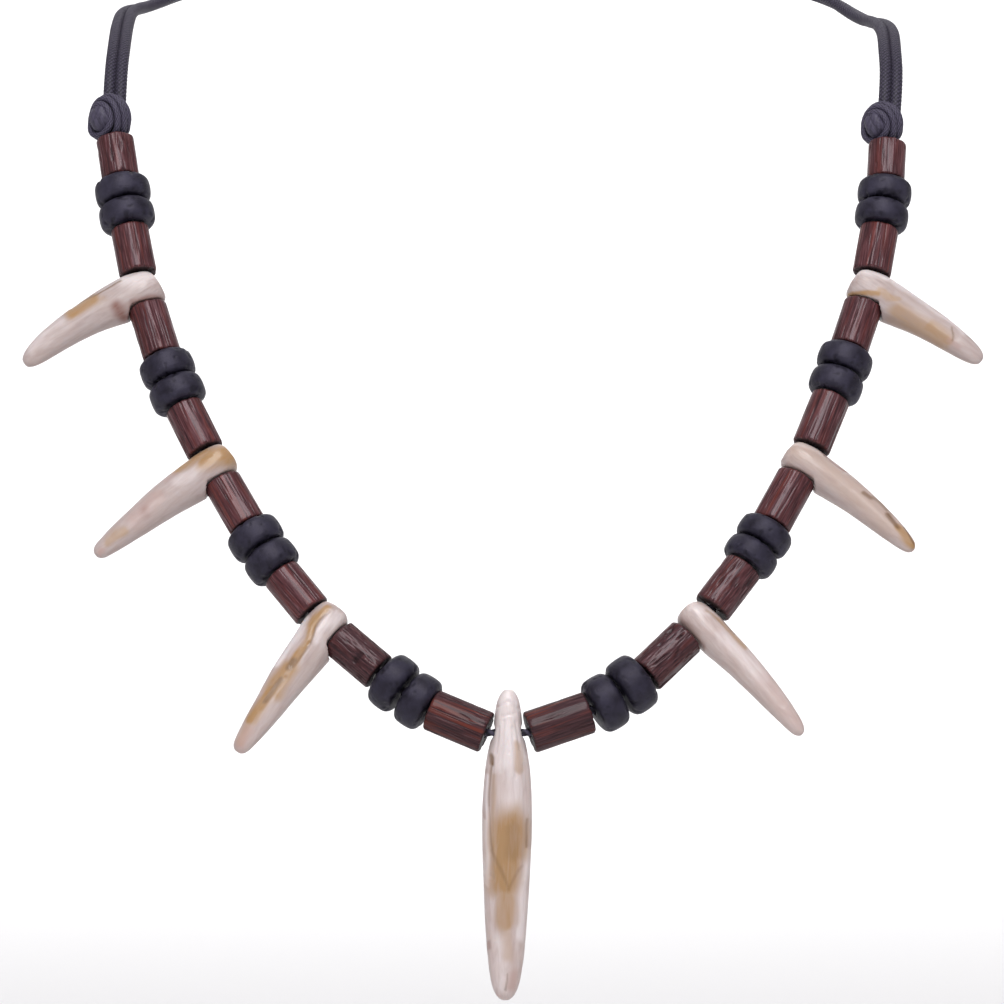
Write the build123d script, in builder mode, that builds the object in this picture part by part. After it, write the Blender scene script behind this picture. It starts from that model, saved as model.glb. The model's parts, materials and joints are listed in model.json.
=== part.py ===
from build123d import *
import os
from collections import namedtuple
from math import cos, radians, sin, tan

# Tooth necklace: wood tubes, black discs and seven teeth on one thread, hung from doubled cords.
# The origin is the nape, on the neck's side of the closing knot. +Z is up, +X is right as seen
# from in front, and the front faces -Y. Lengths are in millimetres and angles in degrees.

# Thread, cords and knots
thread_diameter = 1.1
cord_diameter = 1.6
strand_gap = 0.12  # between the two strands of a side
knot_diameter = 6.6
knot_length = 6.9
knot_offset = {"left": 0.2, "right": 0.9}  # how far each ball bulges to the -X side of its thread
knot_wrap_radius = 0.84  # of the cord where it is squeezed flat round the ball
knot_wrap_tilt = 34.0
knot_wrap_relief = 0.35  # how far the wraps stand out of the ball, of their radius
knot_lean = 27.0  # how far the cords lean back as they leave the knots
cord_exit = {"left": 0.35, "right": 0.0}  # how far to the thread's +X side they leave
cord_drift = {"left": 0.0, "right": 0.1}  # how far they head to +X, for each unit of length
slide_knot_diameter = 5.2
slide_knot_turns = 7
slide_wrap_pitch = 1.6
slide_wrap_relief = 0.75  # how far the turns stand out of the core, of their radius

# Beads
bead_gap = 0.3  # between the faces of neighbours on the thread
bore_clearance = 0.3  # all round the thread
tube_length = 8.0
tube_diameter = 6.0
tube_chamfer = 0.35
disc_thickness = 3.9
disc_diameter = 8.1
disc_bulge = 0.3  # how far the wall swells between the rims
disc_rim_share = 0.22  # rim radius, of the disc's thickness

# Teeth
side_tooth_length = 24.0
side_tooth_width = 5.2
side_tooth_depth = 4.4
side_tooth_hole = 2.5  # from the root's end to the thread
centre_tooth_length = 44.4
centre_tooth_width = 7.2
centre_tooth_depth = 5.6
centre_tooth_hole = 6.1  # from the top's end to the thread
centre_tooth_lean = 0.6  # the tip's lean to the -X side
centre_play = 3.0  # from the middle tooth's axis to the first tubes
centre_bore_clearance = 0.42

# The slope that the string lies on, like a chest that leans back
chest_lean = 22.0
nape_to_front = 108.0
nape_to_hole = 122.9

# The string's route on that slope, from the middle tooth's hole to each knot: across and up the slope
string_route = {
    "left": [(0.0, 0.0), (-3.2, 0.0), (-11.8, 3.8), (-18.9, 9.5), (-26.5, 16.3), (-35.2, 27.3),
             (-42.7, 40.6), (-49.4, 54.3), (-54.1, 69.1), (-57.1, 83.4), (-58.9, 94.0)],
    "right": [(0.0, 0.0), (3.2, 0.0), (12.6, 3.4), (20.4, 9.2), (27.9, 16.9), (36.1, 28.0),
              (43.2, 41.2), (48.8, 55.1), (53.6, 69.5), (56.4, 83.8), (57.2, 93.7)],
}
string_bend_share = 0.4  # how much of a run each bend takes, so the tubes sit on straight thread

# The doubled cord's route past its first run, as the middle between its strands, and the way
# that the neck's surface faces there
CordPoint = namedtuple("CordPoint", "x y z facing")
cord_route = {
    "left": [
        CordPoint(-59.7, -62.0, -19.7, (0.0, -0.8, 0.6)),
        CordPoint(-59.9, -55.0, -15.9, (0.0, -0.5, 0.9)),
        CordPoint(-59.8, -47.0, -12.6, (-0.2, -0.2, 1.0)),
        CordPoint(-57.3, -38.5, -11.2, (-0.3, -0.1, 1.0)),
        CordPoint(-50.8, -27.0, -6.6, (-0.4, 0.2, 0.9)),
        CordPoint(-40.6, -14.5, -2.8, (-0.4, 0.5, 0.7)),
        CordPoint(-27.0, -4.0, -0.6, (-0.2, 0.9, 0.3)),
    ],
    "right": [
        CordPoint(58.7, -63.0, -20.6, (0.0, -0.8, 0.6)),
        CordPoint(59.1, -56.0, -17.0, (0.0, -0.5, 0.9)),
        CordPoint(58.6, -48.0, -14.7, (0.2, -0.2, 1.0)),
        CordPoint(56.6, -39.5, -13.5, (0.3, -0.1, 1.0)),
        CordPoint(51.2, -27.5, -7.8, (0.4, 0.2, 0.9)),
        CordPoint(41.0, -14.5, -3.4, (0.4, 0.5, 0.7)),
        CordPoint(27.2, -4.0, -0.8, (0.2, 0.9, 0.3)),
    ],
}
cord_first_run = 5.0
cord_last_run = 8.5
cord_bend_share = 0.45

# What follows the middle tooth on each side, from the middle outwards, and the share of the
# usual gap that lies before it: beads spread where the thread bends most
Stop = namedtuple("Stop", "kind number gap")
string_order = [
    Stop("tube", 8, 0.0), Stop("disc", 8, 2.2), Stop("disc", 7, 1.5), Stop("tube", 7, 1.3),
    Stop("tooth", 3, 1.0), Stop("tube", 6, 1.0), Stop("disc", 6, 1.0), Stop("disc", 5, 1.0),
    Stop("tube", 5, 1.0), Stop("tooth", 2, 1.0), Stop("tube", 4, 1.0), Stop("disc", 4, 1.0),
    Stop("disc", 3, 1.0), Stop("tube", 3, 1.0), Stop("tooth", 1, 1.0), Stop("tube", 2, 1.0),
    Stop("disc", 2, 1.0), Stop("disc", 1, 1.0), Stop("tube", 1, 1.0),
]

# Each bead's shares of the nominal sizes above, number 1 first
Bead = namedtuple("Bead", "length diameter")
tubes = {
    "left": [Bead(0.86, 0.95), Bead(0.96, 0.95), Bead(1.04, 0.96), Bead(0.98, 0.95),
             Bead(1.01, 0.94), Bead(0.94, 0.96), Bead(1.00, 0.97), Bead(1.09, 1.01)],
    "right": [Bead(0.78, 0.95), Bead(0.95, 0.96), Bead(0.95, 0.97), Bead(1.08, 0.96),
              Bead(1.05, 0.98), Bead(1.00, 0.98), Bead(1.06, 0.96), Bead(1.14, 1.02)],
}
discs = {
    "left": [Bead(0.97, 1.03), Bead(0.96, 1.03), Bead(1.03, 1.00), Bead(1.01, 1.02),
             Bead(1.03, 1.01), Bead(1.03, 0.98), Bead(1.01, 1.00), Bead(1.00, 0.97)],
    "right": [Bead(0.92, 1.00), Bead(0.92, 0.99), Bead(0.96, 1.01), Bead(0.96, 0.98),
              Bead(0.90, 1.00), Bead(0.87, 0.98), Bead(1.10, 1.02), Bead(1.05, 0.99)],
}

# Each side tooth: shares of the nominal sizes, the part of its width held between the tubes, how
# far it points below the horizontal, and how far its middle bows up as a share of its length
Tooth = namedtuple("Tooth", "length width hole seat fall bow form")
teeth = {
    "left": [Tooth(0.97, 1.17, 0.98, 0.96, 33.2, 0.052, "broad"),
             Tooth(1.03, 1.08, 1.15, 0.92, 39.4, 0.012, "full"),
             Tooth(1.07, 1.11, 1.14, 0.94, 57.8, -0.004, "full")],
    "right": [Tooth(0.94, 1.13, 0.94, 0.88, 34.5, 0.027, "broad"),
              Tooth(0.98, 1.01, 1.08, 0.88, 40.7, 0.028, "slim"),
              Tooth(1.04, 0.95, 1.06, 0.96, 49.3, 0.022, "slim")],
}

# Sections of a tooth from root to tip, as shares of its length, width and depth. A section can
# drop below the middle by a share of the width, where the lower edge flares out to the tube
Section = namedtuple("Section", "along width depth drop", defaults=[0])
forms = {
    "broad": [Section(0.000, 0.66, 0.86), Section(0.025, 0.90, 1.16), Section(0.090, 1.10, 1.36, 0.03),
              Section(0.240, 1.12, 1.32, 0.05), Section(0.450, 0.93, 1.06, 0.02),
              Section(0.650, 0.79, 0.86), Section(0.820, 0.67, 0.69), Section(0.930, 0.52, 0.52),
              Section(0.980, 0.35, 0.35), Section(1.000, 0.15, 0.15)],
    "slim": [Section(0.000, 0.66, 0.86), Section(0.025, 0.90, 1.16), Section(0.090, 1.08, 1.36, 0.02),
             Section(0.240, 1.06, 1.32, 0.03), Section(0.450, 0.92, 1.06), Section(0.650, 0.79, 0.86),
             Section(0.820, 0.65, 0.68), Section(0.930, 0.50, 0.50), Section(0.980, 0.34, 0.34),
             Section(1.000, 0.14, 0.14)],
    "full": [Section(0.000, 0.64, 0.86), Section(0.025, 0.88, 1.16), Section(0.090, 1.08, 1.36, 0.03),
             Section(0.250, 1.11, 1.32, 0.05), Section(0.460, 0.97, 1.06), Section(0.670, 0.79, 0.86),
             Section(0.830, 0.64, 0.67), Section(0.930, 0.50, 0.51), Section(0.980, 0.36, 0.36),
             Section(1.000, 0.16, 0.16)],
    "centre": [Section(0.000, 0.16, 0.22), Section(0.020, 0.36, 0.42), Section(0.070, 0.52, 0.62),
               Section(0.140, 0.62, 0.80), Section(0.205, 0.80, 0.93), Section(0.280, 0.92, 1.00),
               Section(0.380, 0.99, 1.00), Section(0.520, 0.97, 0.96), Section(0.680, 0.88, 0.88),
               Section(0.820, 0.77, 0.76), Section(0.920, 0.62, 0.60), Section(0.970, 0.45, 0.44),
               Section(0.992, 0.27, 0.26), Section(1.000, 0.12, 0.12)],
}

bead_bore = thread_diameter / 2 + bore_clearance
strand_pitch = cord_diameter + strand_gap
chest = Plane(
    origin=(0, -nape_to_front, -nape_to_hole),
    x_dir=(1, 0, 0),
    z_dir=(0, -cos(radians(chest_lean)), sin(radians(chest_lean))),
)
sides = ("left", "right")
outward = {"left": -1, "right": 1}


def bent_line(points, share):
    """Straight runs joined by arcs that each take the same share of their shorter run."""
    radii = []
    for before, corner, after in zip(points, points[1:], points[2:]):
        half_turn = radians((corner - before).get_angle(after - corner)) / 2
        shorter = min((corner - before).length, (after - corner).length)
        radii.append(share * shorter / tan(half_turn))
    with BuildLine() as line:
        FilletPolyline(*points, radius=radii)
    return line.wire(), radii


def bead_length(side, kind, number):
    """How much thread one bead takes up."""
    if kind == "tube":
        return tube_length * tubes[side][number - 1].length
    if kind == "disc":
        return disc_thickness * discs[side][number - 1].length
    return side_tooth_width * teeth[side][number - 1].seat


def bead_places(side):
    """The middle of each bead along the thread, and where the thread ends at the knot."""
    place, reached = {}, centre_play
    for stop in string_order:
        length = bead_length(side, stop.kind, stop.number)
        reached += bead_gap * stop.gap
        place[stop.kind, stop.number] = reached + length / 2
        reached += length
    return place, reached + bead_gap


def string_line(side):
    """The side's route, stretched to the length that its beads take up."""
    points = [chest.from_local_coords((x, up, 0)) for x, up in string_route[side]]
    drawn, radii = bent_line(points, string_bend_share)
    stretch = bead_places(side)[1] / drawn.length
    stretched = [points[0] + (point - points[0]) * stretch for point in points]
    return bent_line(stretched, string_bend_share)


def seat_on(line, distance):
    """A plane across the thread: Z runs along it, away from the middle, and X faces forward."""
    at = line.position_at(distance, position_mode=PositionMode.LENGTH)
    along = line.tangent_at(distance, position_mode=PositionMode.LENGTH)
    return Plane(origin=at, x_dir=chest.z_dir, z_dir=along)


def beside(seat):
    """The plane that holds the seat's axis, for a profile that is revolved about it."""
    return Plane(origin=seat.origin, x_dir=seat.x_dir, z_dir=seat.y_dir * -1)


def save(piece, name):
    piece.part.label = name
    export_step(piece.part, f"parts/{name}.step")
    return piece.part


def bead_wall(length, radius):
    """Half of a drilled bead's section, drawn in the sketch that is open."""
    with Locations((bead_bore, 0)):
        Rectangle(radius - bead_bore, length, align=(Align.MIN, Align.CENTER))


def wood_tube(side, number, seat):
    """A drilled tube with chamfered ends, turned about the thread."""
    share = tubes[side][number - 1]
    with BuildPart() as tube:
        with BuildSketch(beside(seat)):
            bead_wall(tube_length * share.length, tube_diameter * share.diameter / 2)
            chamfer(vertices().group_by(Axis.X)[-1], length=tube_chamfer)
        revolve(axis=Axis(seat.origin, seat.z_dir))
    save(tube, f"wood_tube_{side}_{number}")


def black_disc(side, number, seat):
    """A drilled disc with a swollen wall and round rims, turned about the thread."""
    share = discs[side][number - 1]
    half = disc_thickness * share.length / 2
    radius = disc_diameter * share.diameter / 2
    rim = radius - disc_bulge
    with BuildPart() as disc:
        with BuildSketch(beside(seat)):
            with BuildLine():
                Polyline((rim, -half), (bead_bore, -half), (bead_bore, half), (rim, half))
                ThreePointArc((rim, half), (radius, 0), (rim, -half))
            make_face()
            fillet(vertices().group_by(Axis.X)[-1], radius=2 * half * disc_rim_share)
        revolve(axis=Axis(seat.origin, seat.z_dir))
    save(disc, f"black_disc_{side}_{number}")


def tooth_ovals(root, along, across, form, length, width, depth, bow):
    """A tooth's ovals from its root to its tip. Its middle bows across by a share of its length."""
    ovals = []
    for section in forms[form]:
        lift = 4 * bow * length * section.along * (1 - section.along) - section.drop * width
        at = root + along * (section.along * length) + across * lift
        with BuildSketch(Plane(origin=at, x_dir=across, z_dir=along)) as oval:
            Ellipse(section.width * width / 2, section.depth * depth / 2)
        ovals.append(oval.sketch)
    return ovals


def tubes_beside(number):
    """The numbers of the two tubes that a side tooth sits between."""
    order = [(stop.kind, stop.number) for stop in string_order]
    at = order.index(("tooth", number))
    return order[at - 1][1], order[at + 1][1]


def side_tooth(side, number, line, places):
    """A side tooth, drilled for the thread and cut flat where the tubes press on it."""
    tooth = teeth[side][number - 1]
    seat = seat_on(line, places["tooth", number])
    fall = radians(tooth.fall)
    along = chest.x_dir * (outward[side] * cos(fall)) - chest.y_dir * sin(fall)
    across = chest.x_dir * (outward[side] * sin(fall)) + chest.y_dir * cos(fall)
    length = side_tooth_length * tooth.length
    hole = side_tooth_hole * tooth.hole
    lift_at_hole = 4 * tooth.bow * hole * (1 - hole / length)
    root = seat.origin - along * hole - across * lift_at_hole
    with BuildPart() as piece:
        loft(tooth_ovals(root, along, across, tooth.form, length,
                         side_tooth_width * tooth.width, side_tooth_depth, tooth.bow))
        for tube in tubes_beside(number):
            share = tubes[side][tube - 1]
            with BuildSketch(seat_on(line, places["tube", tube])):
                Circle(tube_diameter * share.diameter / 2 + bead_gap)
            reach = tube_length * share.length / 2 + bead_gap
            extrude(amount=reach, both=True, mode=Mode.SUBTRACT)
        with BuildSketch(seat):
            Circle(bead_bore)
        extrude(amount=side_tooth_width, both=True, mode=Mode.SUBTRACT)
    save(piece, f"tooth_{side}_{number}")


def centre_tooth():
    """The middle tooth, which hangs straight down from its hole."""
    lean = radians(centre_tooth_lean)
    down = Vector(-sin(lean), 0, -cos(lean))
    top = chest.origin - down * centre_tooth_hole
    with BuildPart() as piece:
        loft(tooth_ovals(top, down, Vector(cos(lean), 0, -sin(lean)), "centre",
                         centre_tooth_length, centre_tooth_width, centre_tooth_depth, 0))
        with BuildSketch(Plane(origin=chest.origin, x_dir=(0, 1, 0), z_dir=(1, 0, 0))):
            Circle(thread_diameter / 2 + centre_bore_clearance)
        extrude(amount=centre_tooth_width, both=True, mode=Mode.SUBTRACT)
    save(piece, "centre_tooth")


def knot(side, seat):
    """A ball knot with two slanting wraps, flat where the thread comes in and the cords go out."""
    middle = seat.origin + seat.z_dir * (knot_length / 2)
    rise = Vector(cord_drift[side], sin(radians(knot_lean)), cos(radians(knot_lean))).normalized()
    bulge = middle - Vector(knot_offset[side], 0, 0)
    cords = middle + Vector(cord_exit[side], 0, 0)
    with BuildPart(Plane(origin=bulge, x_dir=seat.x_dir, z_dir=seat.z_dir)) as ball:
        Sphere(knot_diameter / 2 - knot_wrap_radius * knot_wrap_relief)
        for tilt in (knot_wrap_tilt, -knot_wrap_tilt):
            Torus(knot_diameter / 2 - knot_wrap_radius, knot_wrap_radius, rotation=(tilt, 0, 0))
        with BuildSketch(seat):
            Circle(thread_diameter)
        extrude(until=Until.NEXT)
        with BuildSketch(Plane(origin=cords, x_dir=(1, 0, 0), z_dir=rise)):
            SlotOverall(strand_pitch + cord_diameter, cord_diameter)
        extrude(amount=knot_length / 2)
    save(ball, f"knot_{side}")
    return cords + rise * (knot_length / 2), rise


def strand_points(side, start, rise, which):
    """The route of one strand: the pair's middle, moved half a pitch across the neck's surface."""
    end = Vector(outward[side] * slide_knot_turns * slide_wrap_pitch / 2, slide_knot_diameter / 2, 0)
    points = [start, start + rise * cord_first_run]
    facing = [Vector(0, -rise.Z, rise.Y)] * 2
    for point in cord_route[side]:
        points.append(Vector(point.x, point.y, point.z))
        facing.append(Vector(*point.facing))
    points += [end + Vector(outward[side] * cord_last_run, 0, 0), end]
    facing += [Vector(0, 1, 0)] * 2
    sign = outward[side] * (1 if which == "outer" else -1)
    moved = []
    for i, point in enumerate(points):
        before = points[max(i - 1, 0)]
        after = points[min(i + 1, len(points) - 1)]
        if i == 1:
            before, after = start, start + rise
        if i == len(points) - 2:
            before, after = point, end
        aside = (after - before).cross(facing[i]).normalized()
        moved.append(point + aside * (sign * strand_pitch / 2))
    return moved


def tube_along(name, line, start, along, diameter):
    """A round cord or thread, swept along its line, with its volume checked by its length."""
    with BuildPart() as tube:
        with BuildSketch(Plane(origin=start, z_dir=along)):
            Circle(diameter / 2)
        sweep(path=line)
    part = save(tube, name)
    section = Circle(diameter / 2, mode=Mode.PRIVATE).area
    print(f"{name}: length {line.length:.1f}, volume {part.volume:.1f} of {section * line.length:.1f}")


os.makedirs("parts", exist_ok=True)

lines = {}
for side in sides:
    line, radii = string_line(side)
    places, string_length = bead_places(side)
    lines[side] = line
    print(f"string {side}: {string_length:.1f} long, bend radii", [round(r, 1) for r in radii])
    for number in range(1, len(tubes[side]) + 1):
        wood_tube(side, number, seat_on(line, places["tube", number]))
    for number in range(1, len(discs[side]) + 1):
        black_disc(side, number, seat_on(line, places["disc", number]))
    for number in range(1, len(teeth[side]) + 1):
        side_tooth(side, number, line, places)

    start, rise = knot(side, seat_on(line, string_length))
    for which in ("outer", "inner"):
        points = strand_points(side, start, rise, which)
        strand, radii = bent_line(points, cord_bend_share)
        name = f"neck_cord_{side}_{which}"
        print(name, "bend radii", [round(r, 1) for r in radii])
        print(name, "points", [(round(p.X, 2), round(p.Y, 2), round(p.Z, 2)) for p in points])
        tube_along(name, strand, points[0], rise, cord_diameter)

centre_tooth()

thread = Wire(lines["left"].edges() + lines["right"].edges())
thread_end = seat_on(lines["left"], lines["left"].length)
tube_along("bead_thread", thread, thread_end.origin, thread_end.z_dir, thread_diameter)

with BuildPart(Plane(origin=(0, slide_knot_diameter / 2, 0), z_dir=(1, 0, 0))) as slide:
    wrap = slide_wrap_pitch / 2
    Cylinder(slide_knot_diameter / 2 - wrap * slide_wrap_relief, slide_knot_turns * slide_wrap_pitch)
    for turn in range(slide_knot_turns):
        along = (turn - (slide_knot_turns - 1) / 2) * slide_wrap_pitch
        with Locations((0, 0, along)):
            Torus(slide_knot_diameter / 2 - wrap, wrap)
save(slide, "nape_slide_knot")
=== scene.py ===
# %% [markdown]
# # Tooth necklace
# A string of dark wood tubes, black discs and seven polished teeth hangs from doubled waxed cords.
# The solid model gives every piece its place and its size. This lesson dresses each piece: it reads
# where the piece is, builds a finer mesh there, and gives it a finish made from nodes.

# %% Load the solid model
import json
import math
import random
from collections import namedtuple

import bpy
import numpy as np
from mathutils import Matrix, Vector, noise


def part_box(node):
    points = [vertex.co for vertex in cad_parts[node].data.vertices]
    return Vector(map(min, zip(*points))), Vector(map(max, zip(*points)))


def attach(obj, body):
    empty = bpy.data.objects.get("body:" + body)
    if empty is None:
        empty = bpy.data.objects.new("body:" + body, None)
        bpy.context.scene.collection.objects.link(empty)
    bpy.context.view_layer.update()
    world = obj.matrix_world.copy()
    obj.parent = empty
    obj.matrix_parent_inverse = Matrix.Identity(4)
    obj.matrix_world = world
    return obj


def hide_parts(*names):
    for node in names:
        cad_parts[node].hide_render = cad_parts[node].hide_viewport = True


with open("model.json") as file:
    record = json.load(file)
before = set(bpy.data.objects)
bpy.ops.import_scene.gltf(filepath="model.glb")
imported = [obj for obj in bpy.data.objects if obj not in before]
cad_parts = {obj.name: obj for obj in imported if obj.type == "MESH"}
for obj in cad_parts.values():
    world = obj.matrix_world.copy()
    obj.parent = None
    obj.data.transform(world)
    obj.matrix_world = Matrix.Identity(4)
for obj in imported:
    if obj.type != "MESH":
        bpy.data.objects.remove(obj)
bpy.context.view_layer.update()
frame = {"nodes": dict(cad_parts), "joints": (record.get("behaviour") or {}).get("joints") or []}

MM = 0.001
BODY = "string"
SIDES = ("left", "right")
OUTWARD = {"left": -1, "right": 1}

# %% [markdown]
# ## Camera
# The photograph was taken from straight in front with a long lens, so the far cords look almost as
# thick as the near ones. One number sets such a picture: how wide the frame is at the string's
# distance. The focal length follows from it.

# %% Camera
CAMERA_AT = (-0.857 * MM, -708 * MM, -90 * MM)
TO_STRING = 600 * MM
FRAME_WIDTH_THERE = 143.43 * MM

camera_data = bpy.data.cameras.new("front_camera")
camera_data.lens = camera_data.sensor_width * TO_STRING / FRAME_WIDTH_THERE
camera_data.clip_start = 10 * MM
camera = bpy.data.objects.new("front_camera", camera_data)
camera.location = CAMERA_AT
camera.rotation_euler = (math.radians(90), 0, 0)
bpy.context.scene.collection.objects.link(camera)
bpy.context.scene.camera = camera
print("focal length:", round(camera_data.lens, 1), "mm")

# %% [markdown]
# ## Mesh helpers
# Nearly everything on this necklace is a row of rings: a cord, a drilled bead, a wound knot. One
# helper turns an array of rings into a mesh. The array has one row for each ring, and each ring has
# the same number of points. A second helper stores numbers on the points, which a finish can read.


# %% Rings to mesh
def ring_mesh(name, rings, joined=False):
    """A closed mesh from rings of points. Its ends meet where joined is true, and are capped where not."""
    count, around, _ = rings.shape
    at = np.arange(count * around).reshape(count, around)
    upper = np.roll(at, -1, axis=0) if joined else at[1:]
    lower = at if joined else at[:-1]
    quads = np.stack([lower, np.roll(lower, -1, 1), np.roll(upper, -1, 1), upper], -1)
    faces = quads.reshape(-1, 4).tolist()
    if not joined:
        faces += [at[0][::-1].tolist(), at[-1].tolist()]
    mesh = bpy.data.meshes.new(name)
    mesh.from_pydata(rings.reshape(-1, 3).tolist(), [], faces)
    mesh.shade_smooth()
    return mesh


def store(mesh, name, values):
    """Numbers or vectors on the mesh's points, for the finish to read by name."""
    values = np.asarray(values, np.float32)
    vector = values.ndim > 1
    kind = "FLOAT_VECTOR" if vector else "FLOAT"
    attribute = mesh.attributes.new(name, kind, "POINT")
    attribute.data.foreach_set("vector" if vector else "value", values.ravel())


def show(thing):
    """Puts an object in the scene."""
    bpy.context.scene.collection.objects.link(thing)
    return thing


def add_piece(name, mesh, finish, slot, body, *nodes):
    """Puts a mesh in the scene as a piece that stands for the named solids."""
    mesh.materials.append(finish)
    piece = show(bpy.data.objects.new(name, mesh))
    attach(piece, body)
    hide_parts(*nodes)
    return piece


# %% Arithmetic helpers
def points_of(mesh):
    """The mesh's points in millimetres."""
    return np.array([v.co for v in mesh.vertices]) / MM


def unit(vector):
    """The same direction, with a length of 1."""
    return vector / np.linalg.norm(vector)


def square_to(vector, along):
    """The unit vector that is square to along and nearest to this one."""
    return unit(vector - along * (vector @ along))


NOISE_STEPS = (17.3, 5.1, 9.7)  # how far a seed of 1 moves the noise along each axis


def noise_on(points, size, seed):
    """Smooth noise from -1 to 1 at each point. Its lumps are about one size across."""
    shift = Vector([seed * step for step in NOISE_STEPS])
    flat = (np.asarray(points) / size).reshape(-1, 3)
    values = [noise.noise(Vector(p) + shift) for p in flat.tolist()]
    return np.array(values).reshape(np.shape(points)[:-1])


def smooth_step(low, high, x):
    """0 below low, 1 above high, and a soft change between them."""
    t = np.clip((x - low) / (high - low), 0, 1)
    return t * t * (3 - 2 * t)


# %% [markdown]
# ## Node helpers
# A finish is a small graph of nodes. A few short functions keep that graph readable: each adds one
# thing, such as noise, a colour ramp, a mix of two colours or fine relief, and hands back the socket
# that carries its result. A value can be a number or another node's socket.

# %% Node helpers
BLACK = (0, 0, 0)
WHITE = (1, 1, 1)
MIX_SHARE, MIX_BELOW, MIX_ABOVE = 0, 6, 7  # a mix node's inputs, when it mixes colours
MIX_RESULT = 2


def new_finish(name):
    """An empty material, its node tree and its main shader."""
    finish = bpy.data.materials.new(name)
    finish.use_nodes = True
    tree = finish.node_tree
    return finish, tree, tree.nodes["Principled BSDF"]


def set_inputs(tree, node, values):
    """Sets a node's inputs, or links them where the value is a socket."""
    for key, value in values.items():
        if isinstance(value, bpy.types.NodeSocket):
            tree.links.new(value, node.inputs[key])
        else:
            node.inputs[key].default_value = value


def add_node(tree, kind, values=None, **settings):
    """A node with its settings and its inputs."""
    node = tree.nodes.new(kind)
    for key, value in settings.items():
        setattr(node, key, value)
    set_inputs(tree, node, values or {})
    return node


def stored(tree, name, output="Fac"):
    """The numbers that were stored on the mesh under this name."""
    return add_node(tree, "ShaderNodeAttribute", attribute_name=name).outputs[output]


def scaled(tree, place, scale):
    """The place, scaled along each axis. A small scale draws a texture out along that axis."""
    return add_node(tree, "ShaderNodeMapping", {"Vector": place, "Scale": scale}).outputs[0]


def add_noise(tree, place, scale, detail, **more):
    """Noise from 0 to 1. A larger scale makes it finer."""
    values = {"Vector": place, "Scale": scale, "Detail": detail, **more}
    return add_node(tree, "ShaderNodeTexNoise", values).outputs["Fac"]


def add_ramp(tree, factor, *stops):
    """A colour ramp with stops of (place, colour)."""
    ramp = add_node(tree, "ShaderNodeValToRGB", {"Fac": factor})
    marks = ramp.color_ramp.elements
    while len(marks) < len(stops):
        marks.new(0.5)
    for mark, (place, colour) in zip(marks, stops):
        mark.position = place
        mark.color = (*colour, 1)
    return ramp.outputs["Color"]


def mix_colours(tree, share, below, above):
    """A plain colour over another colour, by a share."""
    values = {MIX_SHARE: share, MIX_BELOW: below, MIX_ABOVE: (*above, 1)}
    return add_node(tree, "ShaderNodeMix", values, data_type="RGBA").outputs[MIX_RESULT]


def combine(tree, how, first, second=0.0, third=0.0, clamp=False):
    """One step of arithmetic between sockets and numbers."""
    values = {0: first, 1: second, 2: third}
    return add_node(tree, "ShaderNodeMath", values, operation=how, use_clamp=clamp).outputs[0]


def add_relief(tree, height, strength, depth):
    """The normals of fine relief. Its depth is in millimetres."""
    values = {"Height": height, "Strength": strength, "Distance": depth * MM}
    return add_node(tree, "ShaderNodeBump", values).outputs["Normal"]


# %% [markdown]
# ## Cord finish
# The cords are braided and waxed: dark grey-black, with a soft shine on the crown of each strand and
# dark shade in the gaps between them. A texture could draw the braid too, but it would slide over the
# real one. The braid is in the mesh, so the finish reads how high each point stands, paints shade into
# the gaps and a sheen onto the crowns, and adds only the fibres that are too fine to model.


# %% Waxed cord
def waxed_cord():
    finish, tree, shader = new_finish("waxed_black_cord")
    place = stored(tree, "along", "Vector")
    fibre = add_noise(tree, place, 9.0, 5.0)
    dust = add_noise(tree, place, 1.1, 3.0)
    crown = combine(tree, "MULTIPLY_ADD", fibre, 0.5, stored(tree, "crown"))
    # The ramp runs from painted shade, near black, in the braid's gaps to a painted sheen on the crowns.
    colour = add_ramp(tree, combine(tree, "MULTIPLY", crown, 0.66),
                      (0.15, (0.003, 0.003, 0.006)), (0.50, (0.020, 0.016, 0.030)),
                      (0.90, (0.120, 0.105, 0.170)))
    set_inputs(tree, shader, {
        "Base Color": mix_colours(tree, combine(tree, "MULTIPLY", dust, 0.3), colour, (0.034, 0.029, 0.048)),
        "Roughness": combine(tree, "MULTIPLY_ADD", dust, 0.25, 0.40),
        "Normal": add_relief(tree, crown, 0.6, 0.08),
        "Specular IOR Level": 0.35,
        "Sheen Weight": 0.06,
        "Sheen Roughness": 0.4,
    })
    return finish


cord_finish = waxed_cord()
print("finish:", cord_finish.name)

# %% [markdown]
# ## Neck cords
# Each side hangs on two strands of one cord. A strand is a fixed length of something flexible, so
# its line comes first: a smooth spline whose control points are the same ones that shaped its solid.
# The two strands of a side lie together, so one route is told for the pair, and each strand's own
# points lie half a pitch to its side. A curve with a round bevel would be quicker, but its edge stays
# as smooth as a wire. So a braided skin is wrapped round the line instead. Eight carriers cross over
# and under each other, and a cell of the braid is a small diamond that bulges in its middle.

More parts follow.
